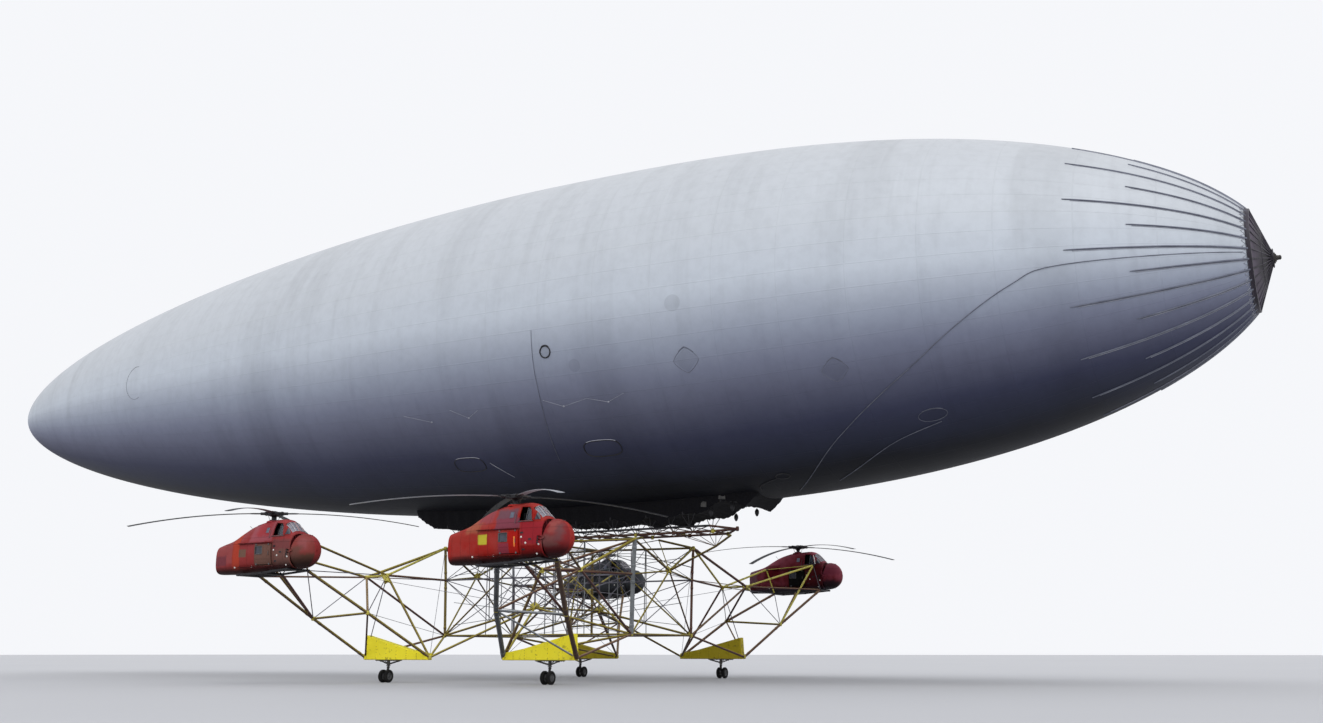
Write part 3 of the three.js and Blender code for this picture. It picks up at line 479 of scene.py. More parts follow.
# %% Shape
class Shape:
    def __init__(self):
        self.points = []
        self.faces = []
        self.finishes = []
        self.matrix = Matrix.Identity(4)

    def add(self, points, faces, finish=0):
        start = len(self.points)
        self.points.extend(self.matrix @ Vector(p) for p in points)
        self.faces.extend([start + i for i in face] for face in faces)
        self.finishes.extend([finish] * len(faces))
        return self

    def rings(self, rings, finish=0, caps=True, loop=False):
        """A skin through rings that all have the same number of points. A loop joins last to first."""
        count = len(rings[0])
        last = len(rings) - 1
        faces = [(r * count + i, r * count + (i + 1) % count,
                  (r + 1) % len(rings) * count + (i + 1) % count, (r + 1) % len(rings) * count + i)
                 for r in range(len(rings) if loop else last) for i in range(count)]
        if caps and not loop:
            faces.append(tuple(range(count))[::-1])
            faces.append(tuple(last * count + i for i in range(count)))
        return self.add([p for ring in rings for p in ring], faces, finish)

    def turned(self, foot, along, profile, sides=12, finish=0, caps=True):
        """A profile of (distance along, radius) turned about an axis that starts at foot."""
        along = Vector(along).normalized()
        side = along.orthogonal().normalized()
        other = along.cross(side)
        rings = []
        for distance, radius in profile:
            centre = Vector(foot) + along * distance
            rings.append([centre + (side * math.cos(t) + other * math.sin(t)) * radius
                          for t in (2 * math.pi * i / sides for i in range(sides))])
        return self.rings(rings, finish, caps)

    def tube(self, start, end, radius, sides=8, finish=0, end_radius=None):
        run = Vector(end) - Vector(start)
        last = radius if end_radius is None else end_radius
        return self.turned(start, run, [(0, radius), (run.length, last)], sides, finish)

    def bent_tube(self, points, radius, sides=8, finish=0, loop=False):
        """A tube of one radius through a row of points, or round a loop of them."""
        points = [Vector(p) for p in points]
        rings = []
        side = None
        for i, point in enumerate(points):
            after = (i + 1) % len(points) if loop else min(i + 1, len(points) - 1)
            before = i - 1 if loop else max(i - 1, 0)
            run = (points[after] - points[before]).normalized()
            side = run.orthogonal() if side is None else side - run * side.dot(run)
            side.normalize()
            other = run.cross(side)
            rings.append([point + (side * math.cos(t) + other * math.sin(t)) * radius
                          for t in (2 * math.pi * k / sides for k in range(sides))])
        return self.rings(rings, finish, not loop, loop)

    def block(self, low, high, bevel=0.02, finish=0):
        """A box with chamfered edges."""
        (x0, y0, z0), (x1, y1, z1) = low, high
        bevel = min(bevel, (x1 - x0) * 0.45, (y1 - y0) * 0.45, (z1 - z0) * 0.45)
        rings = []
        for z, inset in ((z0, bevel), (z0 + bevel, 0), (z1 - bevel, 0), (z1, bevel)):
            a, b, c, d = x0 + inset, x1 - inset, y0 + inset, y1 - inset
            rings.append([(a + bevel, c, z), (b - bevel, c, z), (b, c + bevel, z), (b, d - bevel, z),
                          (b - bevel, d, z), (a + bevel, d, z), (a, d - bevel, z), (a, c + bevel, z)])
        return self.rings(rings, finish)

    def sheet(self, outline, thickness, finish=0):
        """A flat plate: an outline of points in one plane, thickened both ways."""
        outline = [Vector(p) for p in outline]
        normal = (outline[1] - outline[0]).cross(outline[2] - outline[0]).normalized() * thickness / 2
        return self.rings([[p - normal for p in outline], [p + normal for p in outline]], finish)


print("shape class ready")

# %% Finished pieces
FINISHES = {}
COLLECTION = bpy.context.scene.collection


def mesh_of(name, shape, sharp=35):
    mesh = bpy.data.meshes.new(name)
    mesh.from_pydata([p * S for p in shape.points], [], shape.faces)
    mesh.polygons.foreach_set("material_index", shape.finishes)
    tidy = bmesh.new()
    tidy.from_mesh(mesh)
    bmesh.ops.recalc_face_normals(tidy, faces=tidy.faces)
    tidy.to_mesh(mesh)
    tidy.free()
    smooth(mesh, sharp)
    return mesh


def smooth(mesh, sharp):
    mesh.polygons.foreach_set("use_smooth", [True] * len(mesh.polygons))
    mesh.set_sharp_from_angle(angle=math.radians(sharp))


def as_mesh(name, model):
    return mesh_of(name, model) if isinstance(model, Shape) else model


def piece(name, model, finishes, body="airship", stands_for=()):
    """Show a shape or mesh as a piece: its finishes and the body that carries it."""
    mesh = as_mesh(name, model)
    for finish in finishes:
        mesh.materials.append(FINISHES[finish])
    obj = bpy.data.objects.new(name, mesh)
    COLLECTION.objects.link(obj)
    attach(obj, body)
    if stands_for:
        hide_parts(*stands_for)
    return obj


SIDES = {"starboard": -1, "port": 1}
ENDS = {"front": 1, "rear": -1}
HUB_X = {"front": 15.7, "rear": -1.7}
HUB_OUT = 18.82
HUB_HEIGHT = 9.8
CORNERS = [(end, side) for end in ENDS for side in SIDES]
HUBS = {f"{end}_{side}": (HUB_X[end], SIDES[side] * HUB_OUT, HUB_HEIGHT) for end, side in CORNERS}

FINISHES["silver_fabric"] = silver_fabric()
FINISHES["dark_cloth"] = dark_cloth()
FINISHES["tyre_rubber"] = tyre_rubber()
FINISHES["window_glass"] = window_glass("window_glass", 0.55, colour(70, 76, 88), colour(110, 116, 128))
FINISHES["hazy_glass"] = window_glass("hazy_glass", 0.15, colour(128, 127, 142), colour(160, 158, 168))
FINISHES["cone_skin"] = cone_skin()
METALS = {
    "cone_rib": ((26, 22, 32), (50, 42, 56), 1.0, 0.2, 0.5),
    "batten_metal": ((92, 96, 110), (118, 122, 136), 0.6, 0.2, 0.5),
    "lacing": ((150, 150, 158), (186, 186, 192), 2.0, 0.0, 0.8),
    "pale_tape_and_highlight": ((150, 152, 164), (178, 180, 190), 1.2, 0.0, 0.7),
    "cloth_patch": ((66, 66, 66), (100, 99, 96), 2.5, 0.0, 0.85),
    "bare_tube": ((78, 70, 80), (132, 132, 142), 0.8, 0.4, 0.5),
    "gear_steel": ((46, 43, 42), (82, 78, 74), 2.0, 0.4, 0.5),
    "dark_metal": ((18, 18, 22), (44, 43, 48), 1.5, 0.25, 0.5),
    "engine_metal": ((88, 90, 92), (138, 140, 142), 2.5, 0.7, 0.4),
    "blade_paint": ((22, 21, 27), (42, 41, 48), 0.7, 0.1, 0.5),
    # A pale copy of the blade paint: a painted highlight.
    "blade_highlight": ((150, 152, 160), (182, 184, 190), 0.7, 0.2, 0.5),
    "wheel_metal": ((66, 66, 68), (102, 102, 104), 3.0, 0.3, 0.5),
    "frame_pale": ((150, 145, 150), (186, 182, 184), 2.0, 0.1, 0.5),
    "hatch_grey": ((84, 90, 106), (112, 118, 134), 2.0, 0.0, 0.5),
    "crescent_red": ((112, 24, 32), (146, 44, 52), 1.5, 0.0, 0.6),
    "dark_pane": ((36, 38, 48), (62, 66, 78), 1.5, 0.0, 0.12),
    "cabin_dark": ((20, 22, 24), (44, 48, 50), 1.5, 0.0, 0.8),
    "lamp_white": ((214, 212, 204), (236, 235, 230), 3.0, 0.0, 0.3),
    "orange_paint": ((228, 104, 22), (238, 140, 40), 2.0, 0.0, 0.5),
    "cable": ((88, 91, 104), (118, 121, 134), 2.0, 0.1, 0.6),
}
for metal, (dark, light, scale, metallic, rough) in METALS.items():
    FINISHES[metal] = cloudy_metal(metal, colour(*dark), colour(*light), scale, metallic, rough)
# Each list of tones runs from faces that look down to faces that look up: painted shade and light.
WORN = {
    "yellow_tube": ([(0.0, (50, 34, 34)), (0.35, (84, 62, 44)), (0.6, (134, 118, 52)),
                     (1.0, (192, 178, 76))], 0.5, 0.9),
    "primer_tube": ([(0.0, (44, 30, 34)), (0.4, (86, 50, 48)), (0.7, (122, 92, 70)),
                     (1.0, (158, 134, 96))], 0.6, 0.7),
    "silver_tube": ([(0.0, (52, 54, 60)), (0.4, (104, 108, 110)), (0.7, (156, 160, 164)),
                     (1.0, (196, 200, 204))], 0.5, 0.8),
    "yellow_panel": ([(0.0, (150, 132, 20)), (0.4, (252, 236, 36)), (1.0, (248, 236, 70))],
                     0.4, 0.4),
    # A darker copy of the panel paint for the port panels: painted shade, as they are seen from their shaded
    # side.
    "shaded_panel": ([(0.0, (120, 100, 10)), (0.4, (186, 166, 20)), (1.0, (196, 180, 40))],
                  0.5, 0.4),
    "yellow_star": ([(0.0, (138, 116, 44)), (0.5, (196, 184, 78)), (1.0, (216, 208, 112))],
                    1.0, 0.8),
}
for worn, (lit_and_shaded_tones, chips, scale) in WORN.items():
    FINISHES[worn] = worn_paint(worn, [(at, colour(*tone)) for at, tone in lit_and_shaded_tones], chips, scale)
OLIVE = (113, 82, 68)
MOSS = (112, 79, 68)
PAINTS = {
    "rear_starboard": ((142, 44, 42), (152, 66, 70), 0.5, (80, 18, 14), [
        ((148, 66, 66), -4.2, -2.36, -2.9, -1.0, 0.2),
        ((118, 52, 60), -4.2, -2.9, -3.0, -2.4, 0.3),
        ((172, 58, 38), -2.36, -1.74, -3.3, -0.8, 0.12),
        ((154, 76, 84), -1.0, 0.8, -1.72, -0.4, 0.3),
        ((158, 54, 60), -0.5, 0.6, -1.4, -0.4, 0.6), (OLIVE, -1.8, -1.2, -2.55, -2.1, 0.06),
        (MOSS, -0.46, 0.92, -3.1, -1.85, 0.12), ((120, 62, 62), 0.9, 2.3, -2.3, -1.62, 0.25),
        ((114, 76, 68), 0.9, 2.3, -3.1, -2.2, 0.35), ((132, 58, 54), 2.3, 4.5, -2.5, -1.1, 0.3),
        ((96, 62, 50), 2.3, 4.5, -3.4, -2.5, 0.45), ((138, 72, 72), 2.8, 3.3, -2.3, -1.6, 0.5),
        ((108, 66, 58), 2.4, 3.0, -2.7, -2.1, 0.5)]),
    "front_starboard": ((160, 26, 17), (160, 66, 60), 0.4, (50, 6, 6), [
        ((158, 44, 36), -4.2, -1.6, -2.35, -1.0, 0.35),
        ((164, 84, 62), -2.7, -1.6, -1.9, -0.9, 0.4),
        ((152, 66, 72), -1.9, -0.9, -1.4, -0.6, 0.4),
        ((112, 72, 82), -0.7, 0.7, -1.3, -0.7, 0.35),
        ((127, 60, 74), -0.65, 0.9, -1.78, -1.22, 0.18),
        ((193, 180, 52), -1.75, -1.17, -2.52, -2.0, 0.06),
        ((138, 48, 62), -0.38, 0.3, -3.05, -2.5, 0.12),
        ((171, 20, 8), 0.28, 0.9, -3.05, -1.9, 0.1),
        ((152, 32, 42), 0.95, 2.3, -2.6, -1.45, 0.25),
        ((134, 10, 10), 0.95, 2.3, -3.4, -2.65, 0.2),
        ((134, 38, 40), 2.3, 4.5, -3.4, -1.1, 0.3), ((146, 70, 66), 2.6, 3.1, -2.1, -1.4, 0.5),
        ((118, 68, 66), 2.3, 3.1, -2.9, -2.2, 0.6), ((112, 64, 66), 3.0, 3.35, -2.5, -1.6, 0.5),
        ((112, 22, 28), 2.3, 4.5, -3.5, -2.8, 0.4)]),
    "front_port": ((92, 4, 10), (146, 66, 84), 0.6, (78, 82, 96), [
        ((118, 78, 88), -4.2, -3.2, -3.0, -1.6, 0.5), ((100, 8, 24), -2.6, -1.2, -2.6, -1.4, 0.6),
        # The near-black box over the cargo door is painted shade, for the dark of an open doorway.
        ((5, 6, 5), -0.46, 0.92, -3.1, -1.8, 0.1), ((78, 10, 20), 0.9, 2.3, -3.1, -1.3, 0.3),
        ((110, 40, 56), 2.3, 4.5, -2.2, -1.0, 0.5), ((56, 26, 40), 2.3, 4.5, -3.5, -2.7, 0.5)]),
    "rear_port": ((58, 60, 64), (82, 86, 92), 0.4, (34, 34, 36), []),
}
for corner, (base, bleached_and_lit, top_light_and_bleach, belly, patches) in PAINTS.items():
    FINISHES[f"paint_{corner}"] = helicopter_paint(
        f"paint_{corner}", HUBS[corner], colour(*base), colour(*bleached_and_lit), top_light_and_bleach, colour(*belly),
        [(colour(*shade), *box) for shade, *box in patches])
    FINISHES[f"bar_{corner}"] = FINISHES["orange_paint" if corner == "front_starboard" else f"paint_{corner}"]
    FINISHES[f"pillar_{corner}"] = FINISHES["lamp_white" if corner == "front_port" else f"paint_{corner}"]
print("finishes", len(FINISHES))

# %% [markdown]
# ## Envelope
# An airship's outline is fuller at the nose than at the tail. Two power curves, joined at the widest
# station, draw it closely, and turning that outline gives a skin with no flat spots. The stations
# sit closer together near both ends, where the outline bends most.

# %% Envelope
def station_of(radius):
    near, far = NOSE_X, NOSE_X - 20
    for _ in range(50):
        middle = (near + far) / 2
        near, far = (middle, far) if envelope_radius(middle) < radius else (near, middle)
    return near


def on_skin(x, angle, lift=0.0):
    """A point on the envelope: the angle turns from port towards the top."""
    r = envelope_radius(x) + lift
    return Vector((x, r * math.cos(angle), AXIS_HEIGHT + r * math.sin(angle)))


CONE_BASE = station_of(CONE_RADIUS)
SKIN_STATIONS = 110
SKIN_AROUND = 144


def skin_station(i):
    t = i / SKIN_STATIONS
    middle = (CONE_BASE - NOSE_X) / 2
    half = (CONE_BASE + NOSE_X) / 2
    return middle + half * math.cos(t * math.pi) if 0 < t < 1 else middle + half * (1 - 2 * t)


skin = Shape()
skin.rings([[on_skin(max(skin_station(i), -NOSE_X + 0.002), 2 * math.pi * k / SKIN_AROUND)
             for k in range(SKIN_AROUND)] for i in range(SKIN_STATIONS + 1)])
piece("envelope_skin", mesh_of("envelope_skin", skin, 60), ["silver_fabric"],
      stands_for=["envelope"])
print("envelope", len(skin.faces), "faces, cone base at", round(CONE_BASE, 2))

# %% [markdown]
# ## Patches and lines on the fabric
# Repairs and hand-hole covers show as outlines on the cloth, dark ones on the covers and grey ones
# on the repairs. The two long covers have a pale cord along the lower edge, a painted highlight
# where they catch the light. Each is a ring of thin cord pressed to the skin. The places were found
# by sighting from the camera through the photograph to the skin. A line runs down from the nose to
# the belly in a long smooth curve, and a few short ones end in small eyes.

# %% Patches
def patch_outline(x, degrees, half_long, half_tall, power, count=28):
    """Points on the skin round a patch: power 1 is a diamond, 2 an oval and 4 a rounded box."""
    angle = math.radians(degrees)
    turn = 1 / envelope_radius(x)
    points = []
    for i in range(count):
        t = 2 * math.pi * i / count
        c, s = math.cos(t), math.sin(t)
        across = math.copysign(abs(c) ** (2 / power), c) * half_long
        up = math.copysign(abs(s) ** (2 / power), s) * half_tall
        points.append((x + across, angle - up * turn))
    return points


def patch_ring(shape, outline, radius, dark, highlight_finish):
    """A dark ring, with a pale cord along its lower edge as a painted highlight where it catches the light.
    """
    shape.bent_tube([on_skin(x, a, radius * 0.3) for x, a in outline], radius, 5, dark, True)
    lower = outline[len(outline) // 8:len(outline) * 3 // 8 + 1]
    shape.bent_tube([on_skin(x, a - 0.004, radius * 0.4) for x, a in lower], radius * 0.8, 5, highlight_finish)


DARK_CORD, HIGHLIGHT_CORD, GREY_CORD = range(3)
RINGS = [
    ((24.36, -109.0, 0.45, 0.32, 2), 0.03, DARK_CORD), ((14.15, -131.8, 1.3, 0.62, 3), 0.034, DARK_CORD),
    ((3.75, -129.6, 1.2, 0.6, 3), 0.028, DARK_CORD), ((21.4, -157.3, 0.8, 0.75, 1.3), 0.014, GREY_CORD),
    ((29.94, -148.1, 0.75, 0.7, 1.3), 0.014, GREY_CORD), ((34.38, -125.7, 0.8, 0.45, 2), 0.016, GREY_CORD),
    ((12.08, -165.2, 0.36, 0.36, 2), 0.045, DARK_CORD)]
patches = Shape()
for ring, radius, finish in RINGS:
    patch_ring(patches, patch_outline(*ring), radius, finish, HIGHLIGHT_CORD if ring[4] == 3 else finish)
tail_ring = patch_outline(-28.33, -178.4, 1.25, 1.3, 2)
patches.bent_tube([on_skin(x, a, 0.004) for x, a in tail_ring[6:24]], 0.012, 5, GREY_CORD)
piece("envelope_patches", patches, ["dark_metal", "pale_tape_and_highlight", "cable"])

HULL_LINE = [(42.16, -172.5), (39.66, -167.1), (36.38, -154.9), (34.26, -146.1), (31.99, -137.4),
             (29.81, -128.3), (27.61, -117.1), (24.37, -95.5)]
SECOND_LINE = [(34.71, -122.2), (31.43, -116.1), (27.28, -99.4)]
PATCH_TAIL = [(23.9, -108.2), (22.9, -106.0), (22.4, -103.4), (22.32, -100.6)]
BELLY_LINE = [(5.4, -130.0), (6.0, -126.4), (6.58, -122.8)]
GORE_LINE = [(11.21, -172.4), (11.12, -162.0), (11.08, -150.6), (10.9, -140.0), (10.69, -128.7)]
LOAD_LINES = [
    [(0.1, -150.1), (2.27, -147.1)], [(4.03, -150.6), (5.33, -147.3), (6.2, -149.6)],
    [(11.24, -150.5), (12.6, -147.8), (14.36, -149.5)], [(14.36, -149.5), (15.75, -147.6), (16.94, -149.8)]]


def run_on_skin(stops, steps=6, smooth=True):
    """Points on the skin through stops of (x, degrees), on a smooth curve or on straight runs."""
    points = []
    for i in range(len(stops) - 1):
        (x0, a0), (x1, a1) = stops[i], stops[i + 1]
        before, after = stops[max(i - 1, 0)], stops[min(i + 2, len(stops) - 1)]
        pull = 0.5 if smooth else 0.0
        for k in range(steps):
            t = k / steps
            leave, arrive = t * (1 - t) ** 2, t * t * (t - 1)
            mix = t * t * (3 - 2 * t) if smooth else t
            x = x0 + (x1 - x0) * mix + pull * (leave * (x1 - before[0]) + arrive * (after[0] - x0))
            a = a0 + (a1 - a0) * mix + pull * (leave * (a1 - before[1]) + arrive * (after[1] - a0))
            points.append(on_skin(x, math.radians(a), 0.02))
    points.append(on_skin(stops[-1][0], math.radians(stops[-1][1]), 0.02))
    return points


GREY_LINE, DARK_LINE, PALE_LINE = range(3)
EYE_PROFILE = [(0, 0.06), (0.02, 0.06), (0.035, 0.03)]
hull_lines = Shape()
for stops, radius, finish in (
        ([(CONE_BASE - 0.3, -174.0)] + HULL_LINE, 0.024, GREY_LINE), (SECOND_LINE, 0.024, GREY_LINE),
        (PATCH_TAIL, 0.024, DARK_LINE), (BELLY_LINE, 0.016, PALE_LINE), (GORE_LINE, 0.014, GREY_LINE)):
    hull_lines.bent_tube(run_on_skin(stops), radius, 6, finish)
for stops in LOAD_LINES:
    hull_lines.bent_tube(run_on_skin(stops, 6, False), 0.011, 6, PALE_LINE)
    x, degrees = stops[1]
    eye = on_skin(x, math.radians(degrees), 0.0)
    outward = Vector((0, eye.y, eye.z - AXIS_HEIGHT)).normalized()
    hull_lines.turned(eye, outward, EYE_PROFILE, 10, PALE_LINE)
piece("hull_lines", hull_lines, ["cable", "dark_metal", "pale_tape_and_highlight"])
print("patches", len(RINGS))

# %% [markdown]
# ## Nose
# An airship is held by its nose, so the load goes from a spindle into a cone and from there along
# battens laced to the fabric. Long and short battens alternate. They are rounded strips that
# taper a little away from the nose, so a ring of seven points is swept along the outline for each,
# and a pale tape follows its lower edge as a painted highlight.

# %% Nose cone, spindle and battens
SPINDLE_LENGTH = 0.35
CONE_TIP = NOSE_X - SPINDLE_LENGTH
BATTEN_COUNT = 32
BATTEN_TURN = math.radians(1.8)
BATTEN_LONG = 8.45
BATTEN_SHORT = 5.45
BATTEN_WIDTH = 0.12
BATTEN_HEIGHT = 0.08

cone = Shape()
cone.turned((CONE_BASE, 0, AXIS_HEIGHT), (1, 0, 0), [
    (0.0, CONE_RADIUS - 0.1), (0.05, CONE_RADIUS - 0.02), ((CONE_TIP - CONE_BASE) * 0.5, CONE_RADIUS * 0.58),
    (CONE_TIP - 0.15 - CONE_BASE, 0.36), (CONE_TIP - CONE_BASE, 0.3)], 72)
for i in range(BATTEN_COUNT):
    angle = 2 * math.pi * i / BATTEN_COUNT + BATTEN_TURN
    out = Vector((0, math.cos(angle), math.sin(angle)))
    middle = Vector((0, 0, AXIS_HEIGHT))
    foot = Vector((CONE_BASE + 0.05, 0, 0)) + middle + out * (CONE_RADIUS - 0.02)
    head = Vector((CONE_TIP - 0.1, 0, 0)) + middle + out * 0.36
    cone.tube(foot, head, 0.06, 6, 1, 0.045)
for share in (0.02, 0.5, 0.95):
    x = CONE_BASE + (CONE_TIP - CONE_BASE) * share
    radius = CONE_RADIUS + (0.38 - CONE_RADIUS) * share
    loop = [Vector((x, radius * math.cos(t), AXIS_HEIGHT + radius * math.sin(t)))
            for t in (2 * math.pi * k / 72 for k in range(72))]
    cone.bent_tube(loop, 0.03 if share > 0.1 else 0.07, 6, 1, True)
piece("nose_cone_skin", cone, ["cone_skin", "cone_rib"], stands_for=["nose_cone"])

spindle = Shape()
spindle.turned((CONE_TIP, 0, AXIS_HEIGHT), (1, 0, 0), [
    (0.0, 0.3), (0.05, 0.3), (0.06, 0.22), (0.1, 0.22), (0.12, 0.14), (0.25, 0.12), (0.27, 0.13),
    (0.3, 0.13), (SPINDLE_LENGTH, 0.07)], 24)
piece("spindle", mesh_of("spindle", spindle, 25), ["gear_steel"],
      stands_for=["mooring_spindle"])


def batten(shape, index):
    angle = 2 * math.pi * index / BATTEN_COUNT + BATTEN_TURN
    length = BATTEN_LONG if index % 2 == 0 else BATTEN_SHORT
    steps = 26
    rings = []
    for i in range(steps + 1):
        t = i / steps
        x = CONE_BASE - 0.02 - length * t ** 1.25
        taper = 1 - 0.3 * t
        half = BATTEN_WIDTH / 2 * taper * (1 if i < steps else 0.4)
        across = Vector((0, -math.sin(angle), math.cos(angle)))
        ring = []
        for side, lift in ((-1, -0.05), (-1, 0.25), (-0.6, 0.8), (0, 1), (0.6, 0.8), (1, 0.25), (1, -0.05)):
            ring.append(on_skin(x, angle, BATTEN_HEIGHT * lift * taper) + across * side * half)
        rings.append(ring)
    shape.rings(rings)
    # A pale tape along the lower edge: a painted highlight.
    low = -1 if across.z > 0 else 1
    edge = [on_skin(CONE_BASE - 0.02 - length * (i / steps) ** 1.25, angle, 0.012) + across * low * (
        BATTEN_WIDTH / 2 + 0.02) for i in range(steps)]
    shape.bent_tube(edge, 0.016, 5, 3)


battens = Shape()
for i in range(BATTEN_COUNT):
    batten(battens, i)
LACE_POINTS = 128
lace = [on_skin(CONE_BASE - (0.12 if k % 2 else 0.3), 2 * math.pi * k / LACE_POINTS, 0.016)
        for k in range(LACE_POINTS)]
battens.bent_tube(lace, 0.015, 5, 1, True)
battens.turned((CONE_BASE - 0.1, 0, AXIS_HEIGHT), (1, 0, 0), [
    (0, envelope_radius(CONE_BASE - 0.1) - 0.02), (0, envelope_radius(CONE_BASE - 0.1) + 0.05),
    (0.06, CONE_RADIUS + 0.08), (0.2, CONE_RADIUS + 0.05), (0.22, CONE_RADIUS - 0.04)], 72, 2, False)
piece("nose_batten_set", battens,
      ["batten_metal", "lacing", "cone_rib", "pale_tape_and_highlight"], stands_for=["nose_battens"])
print("battens", BATTEN_COUNT)

# %% [markdown]
# ## Curtain
# The suspension cables leave the belly through a curtain of dark cloth laced to the keel. Its lower
# edge hangs in ragged scallops between the lacing points, its sides billow a little, and towards
# the bow it is cut away in steps. It is a taut fairing here, so it is swept as a closed form with a
# wave along its length. On each side two cloth patches and two lead weights hang near the bow.

# %% Curtain
CURTAIN_REAR, CURTAIN_FRONT = -4.9, 22.0
CURTAIN_HALF, CURTAIN_FLARE = 1.9, 0.3
CURTAIN_BOTTOM = 10.25
CURTAIN_BOW = [(15.5, 0), (17.9, 0.25), (19.3, 0.8), (20.3, 0.8), (21.1, 0.5), (22.0, 1.2)]
SCALLOPS = 10
SCALLOP_DEPTH = 0.16
RAGS = [(8.7, 0.22, 0.5), (13.0, 0.25, 0.45), (15.0, 0.3, 0.35)]
CLOTH_PATCHES = [(18.2, 10.78, 0.2), (19.5, 11.2, 0.25)]
WEIGHT_STATIONS = (18.6, 20.1)
WEIGHT_PROFILE = [(0, 0.02), (0.25, 0.02), (0.3, 0.08), (0.4, 0.14), (0.56, 0.14), (0.7, 0.08), (0.76, 0.02)]
CURTAIN_STEPS = 220


def bow_rise(x):
    rise = 0.0
    for (x0, rise0), (x1, rise1) in zip(CURTAIN_BOW, CURTAIN_BOW[1:]):
        if x >= x0:
            rise = rise0 + (rise1 - rise0) * min((x - x0) / (x1 - x0), 1)
    return rise


def curtain_low(x):
    t = (x - CURTAIN_REAR) / (CURTAIN_FRONT - CURTAIN_REAR)
    scallop = abs(math.sin(t * SCALLOPS * math.pi))
    rise_rear = 1.0 * max(0, 1 - (x - CURTAIN_REAR) / 3.2) ** 2
    torn = 0.05 * math.sin(6.1 * x) * math.sin(1.7 * x + 1) + 0.03 * math.sin(17.0 * x)
    rags = sum(depth * math.exp(-((x - at) / half) ** 2) for at, depth, half in RAGS)
    return CURTAIN_BOTTOM - SCALLOP_DEPTH * (scallop - 0.5) + rise_rear + bow_rise(x) + torn - rags


def curtain_ring(i):
    t = i / CURTAIN_STEPS
    x = CURTAIN_REAR + (CURTAIN_FRONT - CURTAIN_REAR) * t
    low = curtain_low(x)
    fold = 0.03 * math.sin(t * SCALLOPS * 6 * math.pi) + 0.05 * abs(math.sin(t * SCALLOPS * math.pi))
    roof = min(12.6, AXIS_HEIGHT - math.sqrt(max(envelope_radius(x) ** 2 - 2.3 ** 2, 1)) + 0.2)
    side = []
    for k in range(7):
        up = k / 6
        y = CURTAIN_HALF + CURTAIN_FLARE * up + fold * math.sin(math.pi * up)
        side.append((y, low + (roof - low) * up))
    ridge = [(y, low + 0.1 * (1 - (y / CURTAIN_HALF) ** 2)) for y in (1.4, 0.8, 0.0, -0.8, -1.4)]
    return [(x, y, z) for y, z in side[::-1] + ridge] + [(x, -y, z) for y, z in side]


curtain = Shape()
curtain.rings([curtain_ring(i) for i in range(CURTAIN_STEPS + 1)])
for index in range(1, SCALLOPS):
    x = CURTAIN_REAR + (CURTAIN_FRONT - CURTAIN_REAR) * index / SCALLOPS
    for side in (-1, 1):
        y, z = side * CURTAIN_HALF, curtain_low(x)
        curtain.block((x - 0.05, y - 0.04, z - 0.06), (x + 0.05, y + 0.04, z + 0.2), 0.02, 1)
for side in (-1, 1):
    for x, z, half in CLOTH_PATCHES:
        face = side * (CURTAIN_HALF + 0.1)
        outline = [(x - half, z), (x + half * 0.8, z - 0.03), (x + half, z + 0.3), (x - 0.1, z + 0.34),
                   (x - half * 0.9, z + 0.27)]
        curtain.rings([[(u, y, w) for u, w in outline] for y in (face - 0.08, face + 0.08)], 2)
    for x in WEIGHT_STATIONS:
        curtain.turned((x, side * 1.82, curtain_low(x) + 0.15), (0, 0, -1), WEIGHT_PROFILE, 12, 1)
piece("curtain_cloth", mesh_of("curtain_cloth", curtain, 50), ["dark_cloth", "dark_metal", "cloth_patch"],
      stands_for=["keel_curtain"])
print("curtain", len(curtain.faces), "faces")

# %% [markdown]
# ## Tube frames
# The frame is welded from yellow and bare tubes that meet in star-shaped gussets. It is easiest to
# describe as a graph: named joints, and members that name their two ends. From the graph come the
# tubes, a collar at each end of the thick ones, and the plates of each star, which fill the narrow
# angles between neighbouring tubes. The tubes came from many hands: most are worn yellow, some are
# still in brown primer and a few are bare or silver. Their paint carries painted shade, dark on the
# undersides, and painted light on top.

# %% Laying tubes and stars
TUBE = {"post": 0.14, "heavy": 0.09, "main": 0.072, "light": 0.055, "thin": 0.03, "wire": 0.016}
YELLOW, BARE, STAR, DARK, PRIMER, SILVER = range(6)
TUBE_FINISHES = ["yellow_tube", "bare_tube", "yellow_star", "dark_metal", "primer_tube", "silver_tube"]


def lay_tubes(shape, joints, members, finish=YELLOW):
    """Members of one finish, or of the finish that a member names for itself."""
    for start, end, weight, *own in members:
        paint = own[0] if own else finish
        a, b = Vector(joints[start]), Vector(joints[end])
        radius = TUBE[weight]
        shape.tube(a, b, radius, 10 if radius > 0.05 else 5, paint)
        if radius > 0.08 and (b - a).length > 2:
            run = (b - a).normalized()
            for end_point, inward in ((a, run), (b, -run)):
                shape.turned(end_point + inward * 0.42, inward, [
                    (0, radius), (0.02, radius * 1.14), (0.16, radius * 1.14), (0.18, radius)], 10, paint)


def lay_star(shape, centre, ends, reach, thick=0.05, finish=STAR):
    """Gusset plates in the narrow angles between the tubes that meet at a joint."""
    centre = Vector(centre)
    runs = [(Vector(end) - centre).normalized() for end in ends]
    shape.turned(centre + Vector((0, 0, -0.13)), (0, 0, 1), [
        (0, 0.08), (0.05, 0.12), (0.21, 0.12), (0.26, 0.08)], 12, finish)
    for i, first in enumerate(runs):
        for second in runs[i + 1:]:
            between = first.angle(second)
            if 0.25 < between < 1.2:
                inner = (first + second).normalized() * reach * 0.72
                shape.sheet([centre + first * 0.05, centre + first * reach, centre + inner,
                             centre + second * reach], thick, finish)


